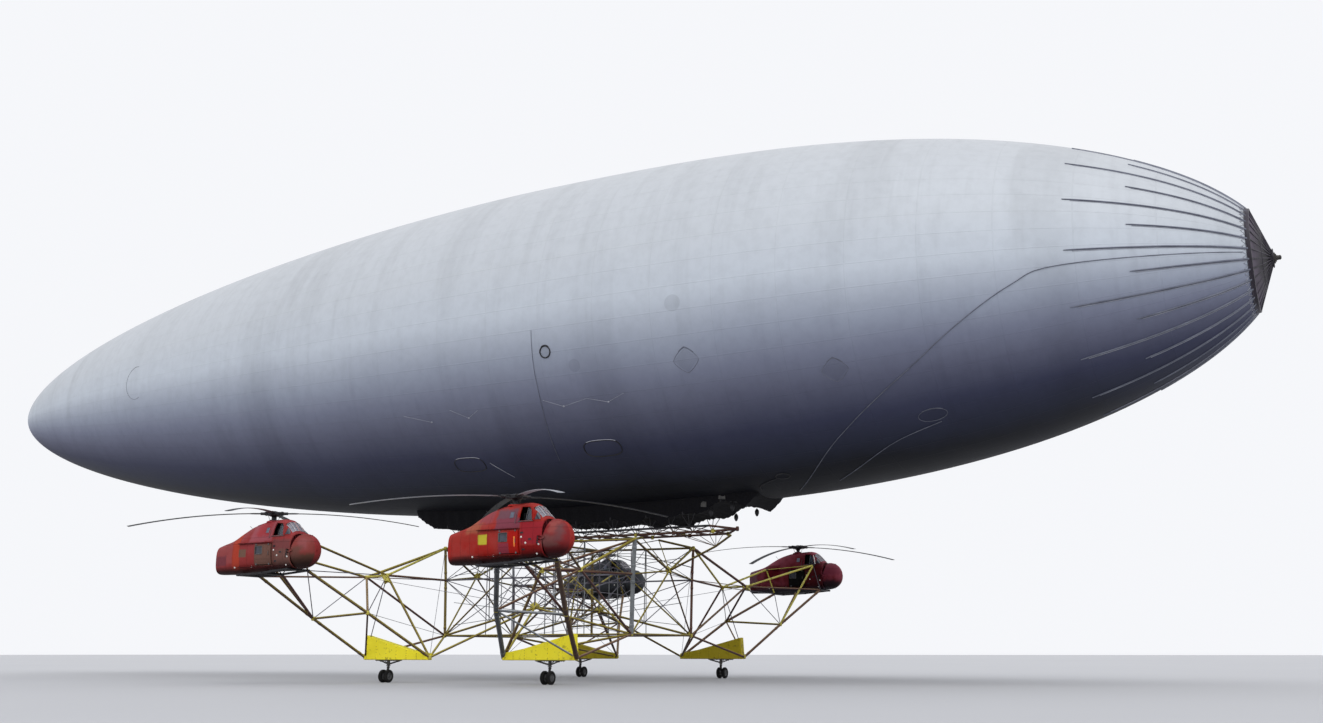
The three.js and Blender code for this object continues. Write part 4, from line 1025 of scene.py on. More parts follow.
def lay_stars(shape, joints, members, names, reach):
    for name in names:
        ends = [joints[member[1 if member[0] == name else 0]] for member in members
                if name in member[:2] and member[2] != "wire"]
        lay_star(shape, joints[name], ends, reach)


print("tube weights", TUBE)

# %% Keel girder
KEEL_REAR, KEEL_TIP = -1.4, 19.55
KEEL_LOW, KEEL_HIGH = 9.32, 9.62
KEEL_LOW_HALF, KEEL_HIGH_HALF = 1.1, 1.6
KEEL_BAYS = 14
KEEL_TIP_HEIGHT = 9.5


def keel_joint(i, level, side):
    x = KEEL_REAR + (KEEL_TIP - 1.2 - KEEL_REAR) * i / KEEL_BAYS
    half, z = (KEEL_LOW_HALF, KEEL_LOW) if level == "low" else (KEEL_HIGH_HALF, KEEL_HIGH)
    return Vector((x, side * half, z))


keel = Shape()
tip = Vector((KEEL_TIP, 0, KEEL_TIP_HEIGHT))
for side in (-1, 1):
    for level, finish in (("low", PRIMER), ("high", DARK)):
        keel.tube(keel_joint(0, level, side), keel_joint(KEEL_BAYS, level, side), TUBE["main"], 10, finish)
        keel.tube(keel_joint(KEEL_BAYS, level, side), tip, TUBE["main"], 10, PRIMER, 0.06)
    for i in range(KEEL_BAYS):
        low, high = ("low", "high") if i % 2 else ("high", "low")
        keel.tube(keel_joint(i, low, side), keel_joint(i + 1, high, side), TUBE["thin"], 6, PRIMER)
        keel.tube(keel_joint(i, "low", side), keel_joint(i, "high", side), TUBE["thin"], 6)
        for lean in (-0.55, 0, 0.55):
            head = keel_joint(i, "high", side) + Vector((lean, side * 0.22, 0))
            head.z = curtain_low(head.x) + 0.12
            keel.tube(keel_joint(i, "high", side), head, 0.025, 5, DARK)
for i in range(KEEL_BAYS + 1):
    keel.tube(keel_joint(i, "low", -1), keel_joint(i, "low", 1), TUBE["light"], 8,
              PRIMER if i % 3 else YELLOW)
    keel.tube(keel_joint(i, "high", -1), keel_joint(i, "high", 1), TUBE["thin"], 6, BARE)
    for side in (-1, 1):
        if i % 2 == 0:
            ends = [keel_joint(i, "low", -side), keel_joint(i + 1, "low", side),
                    keel_joint(i + 1, "high", side)]
            lay_star(keel, keel_joint(i, "low", side), ends, 0.24, 0.04, STAR if i % 4 else PRIMER)
keel.turned(tip + Vector((0, 0, -0.15)), (0, 0, 1),
            [(0, 0.07), (0.05, 0.11), (0.25, 0.11), (0.3, 0.07)], 14, PRIMER)
piece("keel_tubes", keel, TUBE_FINISHES, stands_for=["keel_girder"])
print("keel", len(keel.faces), "faces")

# %% Centre frame
FRAME_MIDDLE = 6.8
FRAME_HALF, FRAME_LOW, FRAME_HIGH = 3.96, 2.92, 8.8
CORNER_POSTS = {"low": (7.28, FRAME_HALF, FRAME_LOW), "middle": (7.38, FRAME_HALF, 6.6),
                "top": (7.5, FRAME_HALF, 8.75)}
ARCH = (0, FRAME_HALF, 4.65)
CROWN = (0, FRAME_HALF, 8.85)
STAR_REACH, STAR_HEIGHT = 7.8, 7.0


def centre_joints():
    joints = {}
    for end, ahead in ENDS.items():
        for side, out in SIDES.items():
            for level, (x, y, z) in CORNER_POSTS.items():
                joints[f"{level}_{end}_{side}"] = (FRAME_MIDDLE + ahead * x, out * y, z)
            joints[f"keel_{end}_{side}"] = (FRAME_MIDDLE + ahead * 6.4, out * KEEL_LOW_HALF, KEEL_LOW - 0.2)
        joints[f"star_{end}"] = (FRAME_MIDDLE + ahead * STAR_REACH, 0, STAR_HEIGHT)
    for side, out in SIDES.items():
        joints[f"arch_{side}"] = (FRAME_MIDDLE + ARCH[0], out * ARCH[1], ARCH[2])
        joints[f"crown_{side}"] = (FRAME_MIDDLE + CROWN[0], out * CROWN[1], CROWN[2])
    joints["prow"] = (18.0, 0, 8.45)
    joints["keel_tip"] = (19.1, 0, 9.12)
    return joints


POST_WEIGHT = {"front_starboard": "post", "rear_starboard": "heavy", "front_port": "heavy",
               "rear_port": "heavy"}


def centre_members():
    """Members in yellow tube, members in bare tube, and the posts of each corner."""
    yellow, bare, posts = [], [], {}
    for end in ENDS:
        for side in SIDES:
            low, middle, top = (f"{level}_{end}_{side}" for level in CORNER_POSTS)
            weight = POST_WEIGHT[f"{end}_{side}"]
            posts[f"{end}_{side}"] = [(low, middle, weight), (middle, top, weight)]
            yellow += [(top, f"crown_{side}", "main"), (low, f"arch_{side}", "main"),
                       (low, f"crown_{side}", "light"), (top, f"star_{end}", "main"),
                       (top, f"keel_{end}_{side}", "main"), (low, f"star_{end}", "light"),
                       (f"keel_{end}_{side}", f"star_{end}", "thin"), (middle, f"star_{end}", "light")]
            bare += [(middle, f"crown_{side}", "thin"), (middle, f"arch_{side}", "thin"),
                     (top, f"arch_{side}", "thin"), (f"crown_{side}", f"keel_{end}_{side}", "thin")]
        yellow.append((f"low_{end}_starboard", f"low_{end}_port", "main"))
        bare += [(f"low_{end}_starboard", f"middle_{end}_port", "thin"),
                 (f"low_{end}_port", f"middle_{end}_starboard", "thin")]
    for side in SIDES:
        yellow += [(f"low_front_{side}", f"low_rear_{side}", "light")]
        bare += [(f"middle_front_{side}", f"middle_rear_{side}", "light"),
                 (f"arch_{side}", f"crown_{side}", "light")]
    yellow += [("arch_starboard", "arch_port", "main"), ("crown_starboard", "crown_port", "main"),
               ("star_front", "prow", "main"), ("prow", "keel_tip", "main")]
    bare += [("low_front_starboard", "low_rear_port", "wire"),
             ("low_front_port", "low_rear_starboard", "wire"),
             ("middle_front_starboard", "crown_port", "wire"),
             ("middle_front_port", "crown_starboard", "wire")]
    return yellow, bare, posts


CENTRE = centre_joints()
CENTRE_YELLOW, CENTRE_BARE, CENTRE_POSTS = centre_members()
POST_FINISH = {"front_starboard": SILVER, "rear_starboard": YELLOW, "front_port": PRIMER, "rear_port": BARE}
CENTRE_STARS = [name for name in CENTRE if name.startswith(("low", "arch", "star", "top"))]
BRACE = 0.022
INNER_POSTS = [(4.1, 0.03, SILVER), (5.0, 0.03, SILVER), (7.6, 0.035, SILVER), (8.3, 0.03, SILVER),
               (9.4, 0.03, BARE), (2.9, 0.03, BARE), (10.6, 0.03, SILVER)]
centre = Shape()
lay_tubes(centre, CENTRE, CENTRE_YELLOW)
lay_tubes(centre, CENTRE, CENTRE_BARE, BARE)
for corner, posts in CENTRE_POSTS.items():
    lay_tubes(centre, CENTRE, posts, POST_FINISH[corner])
lay_stars(centre, CENTRE, CENTRE_YELLOW + CENTRE_BARE, CENTRE_STARS, 0.44)
for side in SIDES:
    for end in ENDS:
        low, middle, top = (Vector(CENTRE[f"{level}_{end}_{side}"]) for level in CORNER_POSTS)
        arch, crown = Vector(CENTRE[f"arch_{side}"]), Vector(CENTRE[f"crown_{side}"])
        foot, head = low.lerp(arch, 0.5), top.lerp(crown, 0.5)
        centre.tube(foot, head, TUBE["thin"], 6, DARK)
        for start, finish in ((middle, foot), (middle, head), (foot, crown), (head, arch)):
            centre.tube(start, finish, BRACE, 6, BARE)
for side in (-1, 1):
    for x, share in ((18.3, 0.5), (17.0, 1), (15.4, 1)):
        centre.tube(CENTRE["prow"], (x, side * KEEL_LOW_HALF * share, KEEL_LOW), BRACE, 6, PRIMER)
    for x, radius, finish in INNER_POSTS:
        centre.tube((x, side * FRAME_HALF, FRAME_LOW), (x, side * FRAME_HALF, FRAME_HIGH), radius, 8, finish)
    for low, high in ((3.6, 5.1), (5.1, 3.6), (6.9, 8.1)):
        centre.tube((0.2, side * FRAME_HALF, low), (13.4, side * FRAME_HALF, high), BRACE, 6, SILVER)
centre.tube((6.2, FRAME_HALF, FRAME_LOW), (6.2, FRAME_HALF, FRAME_HIGH), 0.085, 8, YELLOW)
piece("centre_tubes", centre, TUBE_FINISHES, stands_for=["centre_frame"])
print("centre frame", len(CENTRE), "joints,", len(CENTRE_YELLOW) + len(CENTRE_BARE), "members")

# %% [markdown]
# ## Outriggers
# Each outrigger reaches from the centre frame out over a landing gear and up to a helicopter. All
# four are one design, mirrored fore and aft and side to side, so one table of joints is enough. They
# were painted at different times, so a member's finish depends on its corner. The cradle under the
# belly is dark steel, and beside the cargo doors of the port side a brace ends further out, so that
# the doors slide clear of it.

# %% Outrigger tubes
OUTRIGGER = {
    "panel_outer": (7.85, 11.05, 1.5), "panel_inner": (2.75, 11.05, 1.52),
    "elbow_outer": (9.25, 14.35, 3.83), "elbow_inner": (4.7, 14.58, 4.1),
    "top_outer": (8.05, 11.08, 6.46), "top_inner": (5.8, 11.74, 6.49),
}
CRADLE = {
    "rail_fore": (2.1, 18.0, -3.34), "rail_mid": (0.1, 18.0, -3.5), "rail_aft": (-1.7, 18.0, -3.57),
    "far_fore": (2.1, 19.64, -3.34), "far_mid": (0.1, 19.64, -3.5), "far_aft": (-1.7, 19.64, -3.57),
    "side_fore": (1.6, 17.88, -1.5), "side_aft": (-2.3, 17.88, -1.72),
}


def outrigger_joints(end, side):
    ahead, out = ENDS[end], SIDES[side]
    joints = {name: (FRAME_MIDDLE + ahead * x, out * y, z) for name, (x, y, z) in OUTRIGGER.items()}
    joints.update({name: (HUB_X[end] + x, out * y, HUB_HEIGHT + z) for name, (x, y, z) in CRADLE.items()})
    joints.update({level: CENTRE[f"{level}_{end}_{side}"] for level in CORNER_POSTS})
    joints["arch"] = CENTRE[f"arch_{side}"]
    return joints


def outrigger_members(end, side):
    """Members in yellow unless they name a finish, in bare tube, and in dark steel."""
    outer, inner = ("fore", "aft") if end == "front" else ("aft", "fore")
    near = (end, side) == ("front", "starboard")
    strong = "post" if near else "heavy"
    old = PRIMER if side == "port" else YELLOW
    cream = STAR if (end, side) == ("front", "port") else YELLOW
    clear_of_door = f"rail_{outer}" if side == "port" else "rail_mid"
    yellow = [
        ("panel_outer", "elbow_outer", strong, old), ("elbow_outer", f"rail_{outer}", strong, old),
        ("panel_inner", "elbow_inner", strong, SILVER if near else old),
        ("elbow_inner", f"rail_{inner}", strong, SILVER if near else old),
        ("elbow_outer", "rail_mid", "main", PRIMER),
        ("elbow_outer", "elbow_inner", "main", SILVER if near else YELLOW),
        ("elbow_inner", "panel_outer", "light", SILVER if near else PRIMER),
        ("top_outer", "elbow_inner", "main", PRIMER),
        ("top_outer", "top_inner", "main", PRIMER if near else STAR), ("top_outer", "low", "main", PRIMER),
        ("top_outer", "top", "heavy", PRIMER if side == "port" else YELLOW),
        ("top_inner", "top", "main", PRIMER if near else STAR),
        ("top_inner", "middle", "main", PRIMER), ("top_outer", f"rail_{outer}", "light", PRIMER),
        ("top_outer", f"side_{outer}", "main", cream), (f"side_{inner}", f"rail_{inner}", "light", cream),
        (f"side_{outer}", "elbow_outer", "main", cream), ("panel_outer", "low", "main", PRIMER),
        ("panel_inner", "low", "main", YELLOW), ("panel_inner", "arch", "main", YELLOW),
        ("top_inner", "panel_inner", "heavy" if near else "main", PRIMER if side == "port" else YELLOW),
        ("top_inner", f"side_{inner}", "main", cream), ("side_fore", "side_aft", "thin", cream),
        ("top_outer", "middle", "thin", PRIMER)]
    bare = [("top_outer", "elbow_outer", "thin"), ("top_inner", "elbow_inner", "thin"),
            ("top_inner", f"rail_{inner}", "thin"), (f"side_{outer}", clear_of_door, "thin"),
            ("elbow_outer", f"rail_{inner}", "thin"), ("panel_outer", "top_inner", "thin"),
            ("top_outer", "arch", "wire"), ("panel_inner", "top", "wire"), ("elbow_inner", "low", "wire")]
    dark = [(f"rail_{at}", f"far_{at}", "main") for at in ("fore", "mid", "aft")]
    for at in ("fore", "aft"):
        dark += [(f"rail_{at}", "rail_mid", "main"), (f"far_{at}", "far_mid", "main"),
                 ("rail_mid", f"far_{at}", "thin")]
    return yellow, bare, dark


STAR_JOINTS = ("panel_outer", "panel_inner", "top_inner", "top_outer", "elbow_outer", "elbow_inner")
STAR_SIZES = {
    "front_starboard": (0.4, 0.4, 0.26, 0.3, 0.26, 0.2), "rear_starboard": (0.34, 0.5, 0.6, 0.22, 0.2, 0.22),
    "front_port": (0.3, 0.34, 0.26, 0.5, 0.26, 0.22), "rear_port": (0.3, 0.3, 0.26, 0.34, 0.22, 0.22),
}
for end, side in CORNERS:
    corner = f"{end}_{side}"
    joints = outrigger_joints(end, side)
    yellow, bare, dark = outrigger_members(end, side)
    truss = Shape()
    lay_tubes(truss, joints, yellow)
    lay_tubes(truss, joints, bare, BARE)
    lay_tubes(truss, joints, dark, DARK)
    for name, reach in zip(STAR_JOINTS, STAR_SIZES[corner]):
        lay_stars(truss, joints, yellow + bare, [name], reach)
    for name in CRADLE:
        x, y, z = joints[name]
        truss.block((x - 0.13, y - 0.11, z - 0.07), (x + 0.13, y + 0.11, z + 0.07), 0.03, DARK)
    piece(f"outrigger_tubes_{corner}", truss, TUBE_FINISHES,
          stands_for=[f"outrigger_{corner}"])
print("outrigger", len(truss.faces), "faces")

# %% [markdown]
# ## Side panels and landing gear
# A yellow box section runs between the two feet of each outrigger and carries a gear leg, with a
# swivelling fork and two small wheels. The tyres have ribbed treads, made by turning a profile with
# small steps in it, and the hubs are separate discs with holes round the edge.

# %% Side panels
PANEL_HALF = 0.26
PANEL_FLOOR = 1.36
PANEL_END_GAP = 0.05
GEAR_OUT = 11.0
GEAR_STATION = 6.0


def panel_outline(end):
    ahead = ENDS[end]
    start, finish = OUTRIGGER["panel_inner"][0] + PANEL_END_GAP, OUTRIGGER["panel_outer"][0] - PANEL_END_GAP
    corners = [(start, 0), (start, 0.36), (start + (finish - start) * 0.3, 0.66), (finish - 0.1, 1.5),
               (finish, 0)]
    return [(FRAME_MIDDLE + ahead * x, PANEL_FLOOR + z) for x, z in corners]


def shrunk(outline, amount):
    middle_x = sum(x for x, _ in outline) / len(outline)
    middle_z = sum(z for _, z in outline) / len(outline)
    return [(x + math.copysign(amount, middle_x - x), z + math.copysign(amount, middle_z - z))
            for x, z in outline]


def panel(end, side):
    shape = Shape()
    y = SIDES[side] * GEAR_OUT
    outline = panel_outline(end)
    inner = shrunk(outline, 0.035)
    shape.rings([[(x, y + across, z) for x, z in edge] for edge, across in (
        (inner, -PANEL_HALF), (outline, -PANEL_HALF + 0.035), (outline, PANEL_HALF - 0.035),
        (inner, PANEL_HALF))])
    (x0, z0), (_, z1), (_, z2), (_, z3), (x4, _) = outline
    for share in (0.16, 0.32, 0.48, 0.64, 0.8, 0.95):
        x = x0 + (x4 - x0) * share
        if share < 0.3:
            top = z1 + (z2 - z1) * share / 0.3
        else:
            top = z2 + (z3 - z2) * (share - 0.3) / 0.68
        for out in (-1, 1):
            face = y + out * PANEL_HALF
            shape.block((x - 0.045, face - 0.02, z0 + 0.05), (x + 0.045, face + 0.02, top - 0.06), 0.012)
            for k in range(4):
                z = z0 + 0.12 + (top - z0 - 0.26) * k / 3
                shape.turned((x, face + out * 0.015, z), (0, out, 0), [(0, 0.022), (0.015, 0.018)], 6, 1)
    return shape


for end, side in CORNERS:
    corner = f"{end}_{side}"
    piece(f"yellow_panel_{corner}", panel(end, side),
          # Port panels take the darker copy of the panel paint: painted shade.
          ["shaded_panel" if side == "port" else "yellow_panel", "gear_steel"],
          stands_for=[f"side_panel_{corner}"])
print("panel corners", [tuple(round(v, 2) for v in p) for p in panel_outline("front")])

# %% Gear legs
LEG_FOOT = 1.0
WHEEL_RADIUS = 0.39
CASTER_TRAIL = 0.2


def gear_place(end, side):
    return Vector((FRAME_MIDDLE + ENDS[end] * GEAR_STATION, SIDES[side] * GEAR_OUT, 0))


def gear_leg(end, side):
    shape = Shape()
    at = gear_place(end, side)
    ahead = ENDS[end]
    top = PANEL_FLOOR - 0.004
    shape.turned(at + Vector((0, 0, LEG_FOOT)), (0, 0, 1), [
        (0, 0.06), (0, 0.13), (0.04, 0.13), (0.05, 0.1), (0.12, 0.1), (0.13, 0.115), (0.2, 0.115),
        (0.21, 0.1),
        (top - LEG_FOOT, 0.1)], 20)
    shape.block((at.x - 0.95, at.y - 0.16, top - 0.05), (at.x + 0.95, at.y + 0.16, top), 0.015)
    for reach, radius in ((-0.75, 0.05), (0.55, 0.04)):
        head = at + Vector((ahead * reach, 0, top - 0.07))
        shape.tube(at + Vector((0, 0, LEG_FOOT + 0.1)), head, radius, 10)
        shape.block((head.x - 0.1, head.y - 0.07, head.z - 0.04), (head.x + 0.1, head.y + 0.07, top - 0.01),
                    0.02)
    for out in (-1, 1):
        shape.tube(at + Vector((0, out * 0.02, LEG_FOOT + 0.16)),
                   at + Vector((ahead * 0.2, out * 0.14, top - 0.06)),
                   0.022, 8)
        for x in (-0.85, -0.3, 0.3, 0.85):
            shape.turned((at.x + x, at.y + out * 0.12, top - 0.05), (0, 0, -1), [(0, 0.028), (0.02, 0.024)],
                         6)
    return shape


def caster_fork(end, side):
    shape = Shape()
    at = gear_place(end, side)
    out = SIDES[side]
    axle_y = at.y + out * CASTER_TRAIL
    shape.turned(at + Vector((0, 0, 0.88)), (0, 0, 1), [
        (0, 0.05), (0, 0.09), (0.03, 0.1), (0.06, 0.1), (0.07, 0.088), (0.106, 0.088), (0.108, 0.04),
        (0.26, 0.04)], 20)
    rings = []
    for share in (0, 0.2, 0.4, 0.6, 0.8, 1.0):
        z = 0.92 + (WHEEL_RADIUS - 0.92) * share
        y = at.y + (axle_y - at.y) * share ** 1.4
        half_y = 0.1 - 0.03 * share
        half_x = 0.045
        rings.append([(at.x + half_x * c, y + half_y * s, z) for c, s in (
            (1, 0.6), (0.6, 1), (-0.6, 1), (-1, 0.6), (-1, -0.6), (-0.6, -1), (0.6, -1), (1, -0.6))])
    shape.rings(rings)
    shape.turned((at.x - 0.06, axle_y, WHEEL_RADIUS), (1, 0, 0), [
        (0, 0.045), (0, 0.1), (0.02, 0.11), (0.1, 0.11), (0.12, 0.1), (0.12, 0.045)], 20)
    shape.tube((at.x - 0.03, at.y - out * 0.12, 0.86), (at.x - 0.03, axle_y - out * 0.1, 0.5), 0.018, 8)
    return shape


def twin_wheels(end, side):
    shape = Shape()
    at = gear_place(end, side)
    axle = Vector((at.x, at.y + SIDES[side] * CASTER_TRAIL, WHEEL_RADIUS))
    r = WHEEL_RADIUS
    tread = [(0.045, r - 0.004), (0.06, r), (0.082, r), (0.084, r - 0.014), (0.09, r - 0.014), (0.092, r),
             (0.128, r), (0.13, r - 0.014), (0.136, r - 0.014), (0.138, r), (0.16, r), (0.175, r - 0.004)]
    tyre = [(0.02, 0.21), (0.0, 0.25), (0.0, 0.31), (0.012, r - 0.035), *tread,
            (0.208, r - 0.035), (0.22, 0.31), (0.22, 0.25), (0.2, 0.21), (0.02, 0.21)]
    disc = [(0.03, 0.0), (0.03, 0.06), (0.06, 0.1), (0.06, 0.16), (0.035, 0.19), (0.02, 0.215),
            (0.2, 0.215), (0.185, 0.19), (0.16, 0.16), (0.16, 0.1), (0.2, 0.06), (0.2, 0.0)]
    for out in (-1, 1):
        foot = axle + Vector((out * 0.1, 0, 0))
        shape.turned(foot, (out, 0, 0), tyre, 56, 0, False)
        shape.turned(foot, (out, 0, 0), disc, 32, 1, False)
        for k in range(8):
            t = 2 * math.pi * k / 8
            shape.turned(foot + Vector((out * 0.155, 0.13 * math.cos(t), 0.13 * math.sin(t))), (out, 0, 0),
                         [(0, 0.018), (0.02, 0.015)], 6, 2)
    shape.tube(axle - Vector((0.3, 0, 0)), axle + Vector((0.3, 0, 0)), 0.035, 16, 2)
    return shape


for end, side in CORNERS:
    corner = f"{end}_{side}"
    piece(f"leg_{corner}", mesh_of(f"leg_{corner}", gear_leg(end, side), 30), ["gear_steel"],
          stands_for=[f"gear_leg_{corner}"])
    piece(f"fork_{corner}", mesh_of(f"fork_{corner}", caster_fork(end, side), 30), ["gear_steel"],
          f"caster_fork_{corner}", [f"caster_fork_{corner}"])
    piece(f"wheels_{corner}", mesh_of(f"wheels_{corner}", twin_wheels(end, side), 30),
          ["tyre_rubber", "wheel_metal", "dark_metal"], f"twin_wheels_{corner}",
          [f"twin_wheels_{corner}"])
print("gear at", [tuple(round(v, 2) for v in gear_place(*c)) for c in CORNERS])

# %% [markdown]
# ## Helicopter shell
# The fuselage is a stretched skin through measured sections. Each section is a rounded box whose
# roof is narrower than its waist. Between sections a smooth curve carries the sizes, so the skin
# has no creases. It is built once about the rotor hub, with an inner skin, cut for its windows and
# door with a Boolean modifier, and then copied to the four corners in four paints.

# %% Fuselage sections
SECTIONS = [
    (-3.88, -3.47, -1.80, 0.64, 0.83), (-2.70, -3.49, -1.46, 0.78, 0.78), (-2.00, -3.50, -1.07, 0.84, 0.64),
    (-1.30, -3.50, -0.74, 0.87, 0.58), (-0.30, -3.46, -0.49, 0.88, 0.64), (0.75, -3.38, -0.42, 0.88, 0.76),
    (1.25, -3.34, -0.41, 0.88, 0.78), (1.60, -3.31, -0.56, 0.88, 0.80), (2.25, -3.28, -1.24, 0.88, 0.90),
]
ROUND = 0.62
SHOULDER = -1.7
SKIN = 0.06
AROUND = 72


def section_at(x):
    """Floor, roof, half width and roof narrowing at a station, on smooth curves between the sections."""
    i = max(k for k in range(len(SECTIONS) - 1) if SECTIONS[k][0] <= max(x, SECTIONS[0][0]))
    before, here, there, after = (SECTIONS[min(max(i + k, 0), len(SECTIONS) - 1)] for k in (-1, 0, 1, 2))
    run = there[0] - here[0]
    t = (x - here[0]) / run
    values = []
    for k in range(1, 5):
        step = there[k] - here[k]
        slope_in = step if before is here else run * (there[k] - before[k]) / (there[0] - before[0])
        slope_out = step if after is there else run * (after[k] - here[k]) / (after[0] - here[0])
        values.append(here[k] + t * slope_in + t * t * (3 * step - 2 * slope_in - slope_out)
                      + t * t * t * (slope_in + slope_out - 2 * step))
    return values


def signed_power(value, power):
    return math.copysign(abs(value) ** power, value)


def narrowing(z, roof, narrow):
    above = max(0.0, (z - SHOULDER) / max(roof - SHOULDER, 0.01))
    return 1 - (1 - narrow) * min(above, 1)


def section_ring(x, lift=0.0, count=AROUND):
    floor_z, roof, half, narrow = section_at(x)
    middle, tall = (floor_z + roof) / 2, (roof - floor_z) / 2 + lift
    ring = []
    for i in range(count):
        angle = (i + 0.5) * 2 * math.pi / count
        z = middle + tall * signed_power(math.sin(angle), ROUND)
        y = (half + lift) * signed_power(math.cos(angle), ROUND) * narrowing(z, roof, narrow)
        ring.append(Vector((x, y, z)))
    return ring


def on_side(x, z, side=-1, lift=0.0):
    """The point of the fuselage's side at a station and height."""
    floor_z, roof, half, narrow = section_at(x)
    middle, tall = (floor_z + roof) / 2, (roof - floor_z) / 2
    share = min(abs(z - middle) / tall, 0.999) ** (1 / ROUND)
    y = half * math.sqrt(1 - share * share) ** ROUND * narrowing(z, roof, narrow) + lift
    return Vector((x, side * y, z))


print("widest ring", max(round(p.y, 2) for p in section_ring(0)))

# %% Cutting and copying
HUB_MOVES = {corner: Matrix.Translation(Vector(hub) * S) for corner, hub in HUBS.items()}


def cut(mesh, cutter_shape):
    """Take solids away from a mesh with a Boolean modifier, and return the new mesh."""
    solid = bpy.data.objects.new("solid", mesh)
    cutter = bpy.data.objects.new("cutter", mesh_of("cutter", cutter_shape))
    for obj in (solid, cutter):
        COLLECTION.objects.link(obj)
    modifier = solid.modifiers.new("cut", "BOOLEAN")
    modifier.operation = "DIFFERENCE"
    modifier.solver = "EXACT"
    modifier.use_self = True
    modifier.object = cutter
    result = bpy.data.meshes.new_from_object(solid.evaluated_get(bpy.context.evaluated_depsgraph_get()))
    for obj in (solid, cutter):
        bpy.data.objects.remove(obj)
    return result


def at_corners(name, model, finishes, body="airship", nodes=()):
    """Copy a model built about the hub to all corners, with CORNER in a finish's name filled in."""
    mesh = as_mesh(name, model)
    for corner, move in HUB_MOVES.items():
        copy = mesh.copy()
        copy.transform(move)
        piece(f"{name}_{corner}", copy, [finish.replace("CORNER", corner) for finish in finishes],
              body if body == "airship" else f"{body}_{corner}", [f"{node}_{corner}" for node in nodes])


print("corners", list(HUB_MOVES))

# %% Fuselage shell
TAIL_X, FIREWALL_X = SECTIONS[0][0], SECTIONS[-1][0]
SIDE_WINDOW = [(0.82, -1.40), (1.66, -1.40), (1.52, -0.86), (1.36, -0.66), (0.82, -0.62)]
SCREEN = [(1.5, -0.8), (2.02, -1.34), (2.34, -0.86), (1.82, -0.32)]
DOOR_REAR, DOOR_FRONT, DOOR_LOW, DOOR_HIGH = -0.42, 0.86, -3.02, -1.86
SHELL_STATIONS = 64


def side_prism(shape, outline, y_low, y_high):
    shape.rings([[(x, y, z) for x, z in outline] for y in (y_low, y_high)])


def fuselage_mesh():
    shell = Shape()
    xs = [TAIL_X + (FIREWALL_X - TAIL_X) * i / SHELL_STATIONS for i in range(SHELL_STATIONS + 1)]
    shell.rings([section_ring(x) for x in xs] + [section_ring(x, -SKIN) for x in xs[::-1]], 0, False, True)
    holes = Shape()
    side_prism(holes, SIDE_WINDOW, -1.2, 1.2)
    for low, high in ((0.05, 0.3), (0.33, 0.56), (-0.3, -0.05), (-0.56, -0.33)):
        side_prism(holes, SCREEN, low, high)
    side_prism(holes, [(DOOR_REAR + 0.08, DOOR_LOW + 0.08), (DOOR_FRONT - 0.08, DOOR_LOW + 0.08),
                       (DOOR_FRONT - 0.08, DOOR_HIGH - 0.08), (DOOR_REAR + 0.08, DOOR_HIGH - 0.08)], -1.2,
                       -0.5)
    holes.tube((0, 0, -0.9), (0, 0, 0), 0.16, 20)
    mesh = cut(mesh_of("shell", shell), holes)
    for face in mesh.polygons:
        axis = Vector((0, 0, sum(section_at(face.center.x / S)[:2]) / 2 * S))
        outward = face.center - axis
        outward.x = 0
        face.material_index = 1 if face.normal.dot(outward.normalized()) < -0.25 else 0
    smooth(mesh, 30)
    return mesh


at_corners("fuselage_shell", fuselage_mesh(), ["paint_CORNER", "cabin_dark"], nodes=["fuselage"])
print("fuselage shells 4")

# %% [markdown]
# ## Nose face, tail and cabin
# Between the fuselage and the round nose lies a sunken crescent with louvres, where cooling air goes
# in. The tail boom is gone, and a ribbed bulkhead closes the cut. Inside there are a floor, two
# seats and an instrument panel, because the windows show them.

# %% Nose face
BULB_REAR, BULB_FRONT = 2.34, 3.56
BULB_HALF, BULB_TALL, BULB_Z = 0.88, 1.0, -2.3
BULB_POWER = 2.3
BULB_WALL = 0.05
BULB_LEAN = 0.24


def nose_oval(x, half, tall):
    return [Vector((x, half * math.cos(a), BULB_Z + tall * math.sin(a)))
            for a in ((i + 0.5) * 2 * math.pi / AROUND for i in range(AROUND))]


def mixed(first, second, share, x):
    return [Vector((x, *(a.lerp(b, share)).yz)) for a, b in zip(first, second)]


face_shape = Shape()
edge = section_ring(FIREWALL_X)
oval = nose_oval(FIREWALL_X, 0.72, 0.8)
face_shape.rings([
    mixed(edge, oval, 0.12, FIREWALL_X - 0.06), mixed(edge, oval, -0.012, FIREWALL_X - 0.01),
    mixed(edge, oval, -0.008, FIREWALL_X + 0.015), mixed(edge, oval, 0.08, FIREWALL_X + 0.035),
    mixed(edge, oval, 0.2, FIREWALL_X + 0.04), mixed(edge, oval, 0.3, FIREWALL_X + 0.02),
    mixed(edge, oval, 0.36, FIREWALL_X - 0.03)])
face_shape.rings([mixed(edge, oval, 0.34, FIREWALL_X - 0.03), mixed(edge, oval, 0.75, FIREWALL_X - 0.05),
                  mixed(edge, oval, 1.3, FIREWALL_X - 0.05)], 1)
for i in range(23):
    angle = math.radians(-12 + 204 * i / 22)
    out = Vector((0, math.cos(angle), math.sin(angle)))
    index = int(angle % (2 * math.pi) / (2 * math.pi) * AROUND - 0.5) % AROUND
    outer = edge[index].lerp(oval[index], 0.3)
    inner = edge[index].lerp(oval[index], 1.05)
    face_shape.sheet([(FIREWALL_X - 0.05, *outer.yz), (FIREWALL_X + 0.01, *outer.yz),
                      (FIREWALL_X + 0.01, *inner.yz), (FIREWALL_X - 0.05, *inner.yz)], 0.03, 1)
at_corners("nose_face", face_shape, ["paint_CORNER", "crescent_red"])
print("nose face", len(face_shape.faces), "faces")

